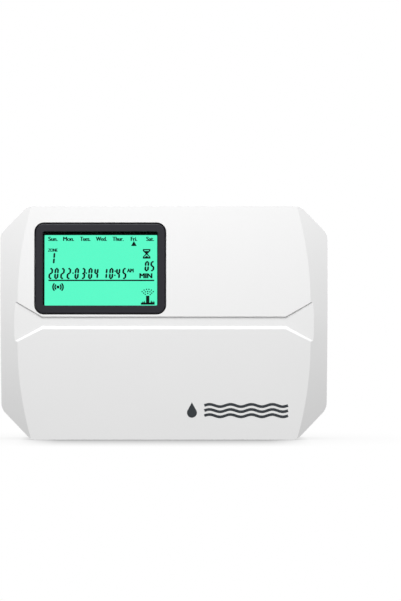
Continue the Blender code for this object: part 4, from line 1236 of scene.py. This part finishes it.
def make_small_parts():
    """Chip resistors along the board's lower edge and a row of switching transistors."""
    bodies = []
    ends = []
    for x, z in CHIP_PLACES:
        bodies.append(block("chip", (x - 1.1, x + 1.1), (BOARD_FRONT, ON_BOARD + 0.5),
                            (z - 0.8, z + 0.8)))
        for side in (-1, 1):
            ends.append(block("chip_end", (x + side * 1.35 - 0.3, x + side * 1.35 + 0.3),
                              (BOARD_FRONT, ON_BOARD + 0.52), (z - 0.82, z + 0.82)))
    for pole in range(ZONES):
        x = pole_x("valves", pole)
        round_side = arc(x, ON_BOARD + 4.0, TRANSISTOR_RADIUS, -0.6, pi + 0.6, 16)
        bodies.append(extrusion("transistor", [round_side], TRANSISTOR_Z, upright=True))
        for shift in LEG_SHIFTS:
            ends.append(block("leg", (x + shift - 0.2, x + shift + 0.2),
                              (BOARD_FRONT, ON_BOARD + 3.6), LEG_Z))
    place_piece(merge("board_chips", bodies), HOUSING, BLACK_PLASTIC)
    place_piece(merge("board_solder_ends", ends), HOUSING, STEEL)


# ---- the rest of the nodes
NODE_LOOKS = [
    (BLACK_PLASTIC, ["lcd_pin_strip", "microcontroller", "power_inductor", "bridge_rectifier",
                     "coin_cell_holder", "fuse_holder", "board_header", "board_socket",
                     *["tact_switch_" + key for key in KEYS]]),
    (BOARD_GREEN, ["main_board", "control_board", "wifi_module"]),
    (CAN_SLEEVE, ["capacitor_main", "capacitor_aux"]),
    (DIFFUSER, ["lcd_backlight"]),
    (STEEL, ["coin_cell"]),
    (CERAMIC_BLUE, ["surge_varistor"]),
    (FUSE_GLASS, ["fuse"]),
]


def paint_nodes():
    for material, names in NODE_LOOKS:
        for name in names:
            paint_node(name, material)


# ---- stage
VIEW_HEIGHT = 387.3  # mm of the object's plane that the long side of the image shows
CAMERA_DISTANCE = 1500.0
CAMERA_SHIFT = (23.5, 14.5)  # mm from the image's middle to the object's
SENSOR = 36.0
WHITE = (1.0, 1.0, 1.0, 1.0)
WORLD_LIGHT = 0.30
FLOOR_SIZE = 12.0  # in metres, like the gap
FLOOR_GAP = 0.0002
SHADE_REACH = 85.0  # how far from the object the floor is shaded
SHADE_DEPTH = (0.96, 0.15)  # how dark a covered place gets, in front and to the sides
SHADE_SAMPLES = 32
SHADE_TURN = (68.0, 94.0)  # distance from the middle over which the one becomes the other


def make_camera():
    data = bpy.data.cameras.new("camera")
    adjust(data, sensor_width=SENSOR, lens=SENSOR * CAMERA_DISTANCE / VIEW_HEIGHT,
           shift_x=CAMERA_SHIFT[0] / VIEW_HEIGHT, shift_y=CAMERA_SHIFT[1] / VIEW_HEIGHT,
           clip_start=0.01)
    camera = add_object("camera", data)
    camera.location = (0.0, -(FRONT + CAMERA_DISTANCE) * MM, 0.0)
    camera.rotation_euler = (pi / 2, 0.0, 0.0)
    bpy.context.scene.camera = camera


def add_light(name, kind, strength, **settings):
    data = bpy.data.lights.new(name, kind)
    adjust(data, energy=strength, **settings)
    return add_object(name, data)


def area_light(name, location, target, size, power):
    lamp = add_light(name, "AREA", power, size=size)
    lamp.location = location
    lamp.rotation_euler = (Vector(target) - Vector(location)).to_track_quat("-Z", "Y").to_euler()


def sun_light(name, azimuth, elevation, softness, strength):
    """A broad light from far away: azimuth 0 is straight in front, and angles are in degrees."""
    lamp = add_light(name, "SUN", strength, angle=radians(softness))
    lamp.rotation_euler = (radians(90.0 - elevation), 0.0, radians(azimuth))


def make_world():
    """White to the camera, and a softer white as a light."""
    world = bpy.data.worlds.new("studio")
    bpy.context.scene.world = world
    world.use_nodes = True
    tree = world.node_tree
    soft = tree.nodes["Background"]
    feed(soft, {"Color": WHITE, "Strength": WORLD_LIGHT})
    plain = add_node(tree, "Background", {"Color": WHITE})
    path = add_node(tree, "LightPath")
    mix = add_node(tree, "MixShader", {
        "Fac": path.outputs["Is Camera Ray"], 1: soft.outputs["Background"],
        2: plain.outputs["Background"]})
    feed(tree.nodes["World Output"], {"Surface": mix.outputs["Shader"]})


def make_floor():
    bottom = cad_bounds[0].z
    bpy.ops.mesh.primitive_plane_add(size=FLOOR_SIZE, location=(0.0, 0.0, bottom - FLOOR_GAP))
    floor = bpy.context.object
    floor.name = "floor"
    floor.data.materials.append(floor_material())


def floor_material():
    """A pale floor that is shaded where the object covers it.

    It is clear from below and to the lights, so that the underside is lit too.
    """
    material, tree = new_tree("floor")
    tree.nodes.remove(tree.nodes["Principled BSDF"])

    def result(operation, first, second=0.0):
        return add_node(tree, "Math", {0: first, 1: second},
                        operation=operation).outputs["Value"]

    place = add_node(tree, "SeparateXYZ", {"Vector": object_place(tree)})
    depth = add_node(tree, "MapRange", {
        "Value": result("ABSOLUTE", place.outputs["X"]),
        "From Min": SHADE_TURN[0] * MM, "From Max": SHADE_TURN[1] * MM,
        "To Min": SHADE_DEPTH[0], "To Max": SHADE_DEPTH[1]})
    sky = add_node(tree, "AmbientOcclusion", {"Distance": SHADE_REACH * MM},
                   samples=SHADE_SAMPLES)
    covered = result("SUBTRACT", 1.0, sky.outputs["AO"])
    dark = result("MULTIPLY", covered, depth.outputs["Result"])
    pale = add_node(tree, "Emission", {"Strength": result("SUBTRACT", 1.0, dark)})
    camera = add_node(tree, "LightPath").outputs["Is Camera Ray"]
    below = add_node(tree, "NewGeometry").outputs["Backfacing"]
    clear = add_node(tree, "BsdfTransparent")
    mix = add_node(tree, "MixShader", {
        "Fac": result("GREATER_THAN", camera, below), 1: clear.outputs["BSDF"],
        2: pale.outputs["Emission"]})
    feed(tree.nodes["Material Output"], {"Surface": mix.outputs["Shader"]})
    return material


def make_stage():
    scene = bpy.context.scene
    scene.view_settings.view_transform = "Standard"
    make_world()
    make_floor()
    sun_light("daylight", azimuth=0.0, elevation=41.0, softness=40.0, strength=1.85)
    area_light("key", (-0.03, -0.36, 0.40), (0, 0, 0.03), 0.35, 1.45)
    sun_light("back_light", azimuth=165.0, elevation=12.0, softness=40.0, strength=1.2)
    make_camera()


make_stage()
make_rear_case()
make_grommet()
make_cover()
make_hinge_pins()
make_control_panel()
make_keys()
make_panel_print()
make_screws()
make_terminals()
make_small_parts()
make_bezel()
make_lcd()
make_display_marks()
make_emblem()
paint_nodes()
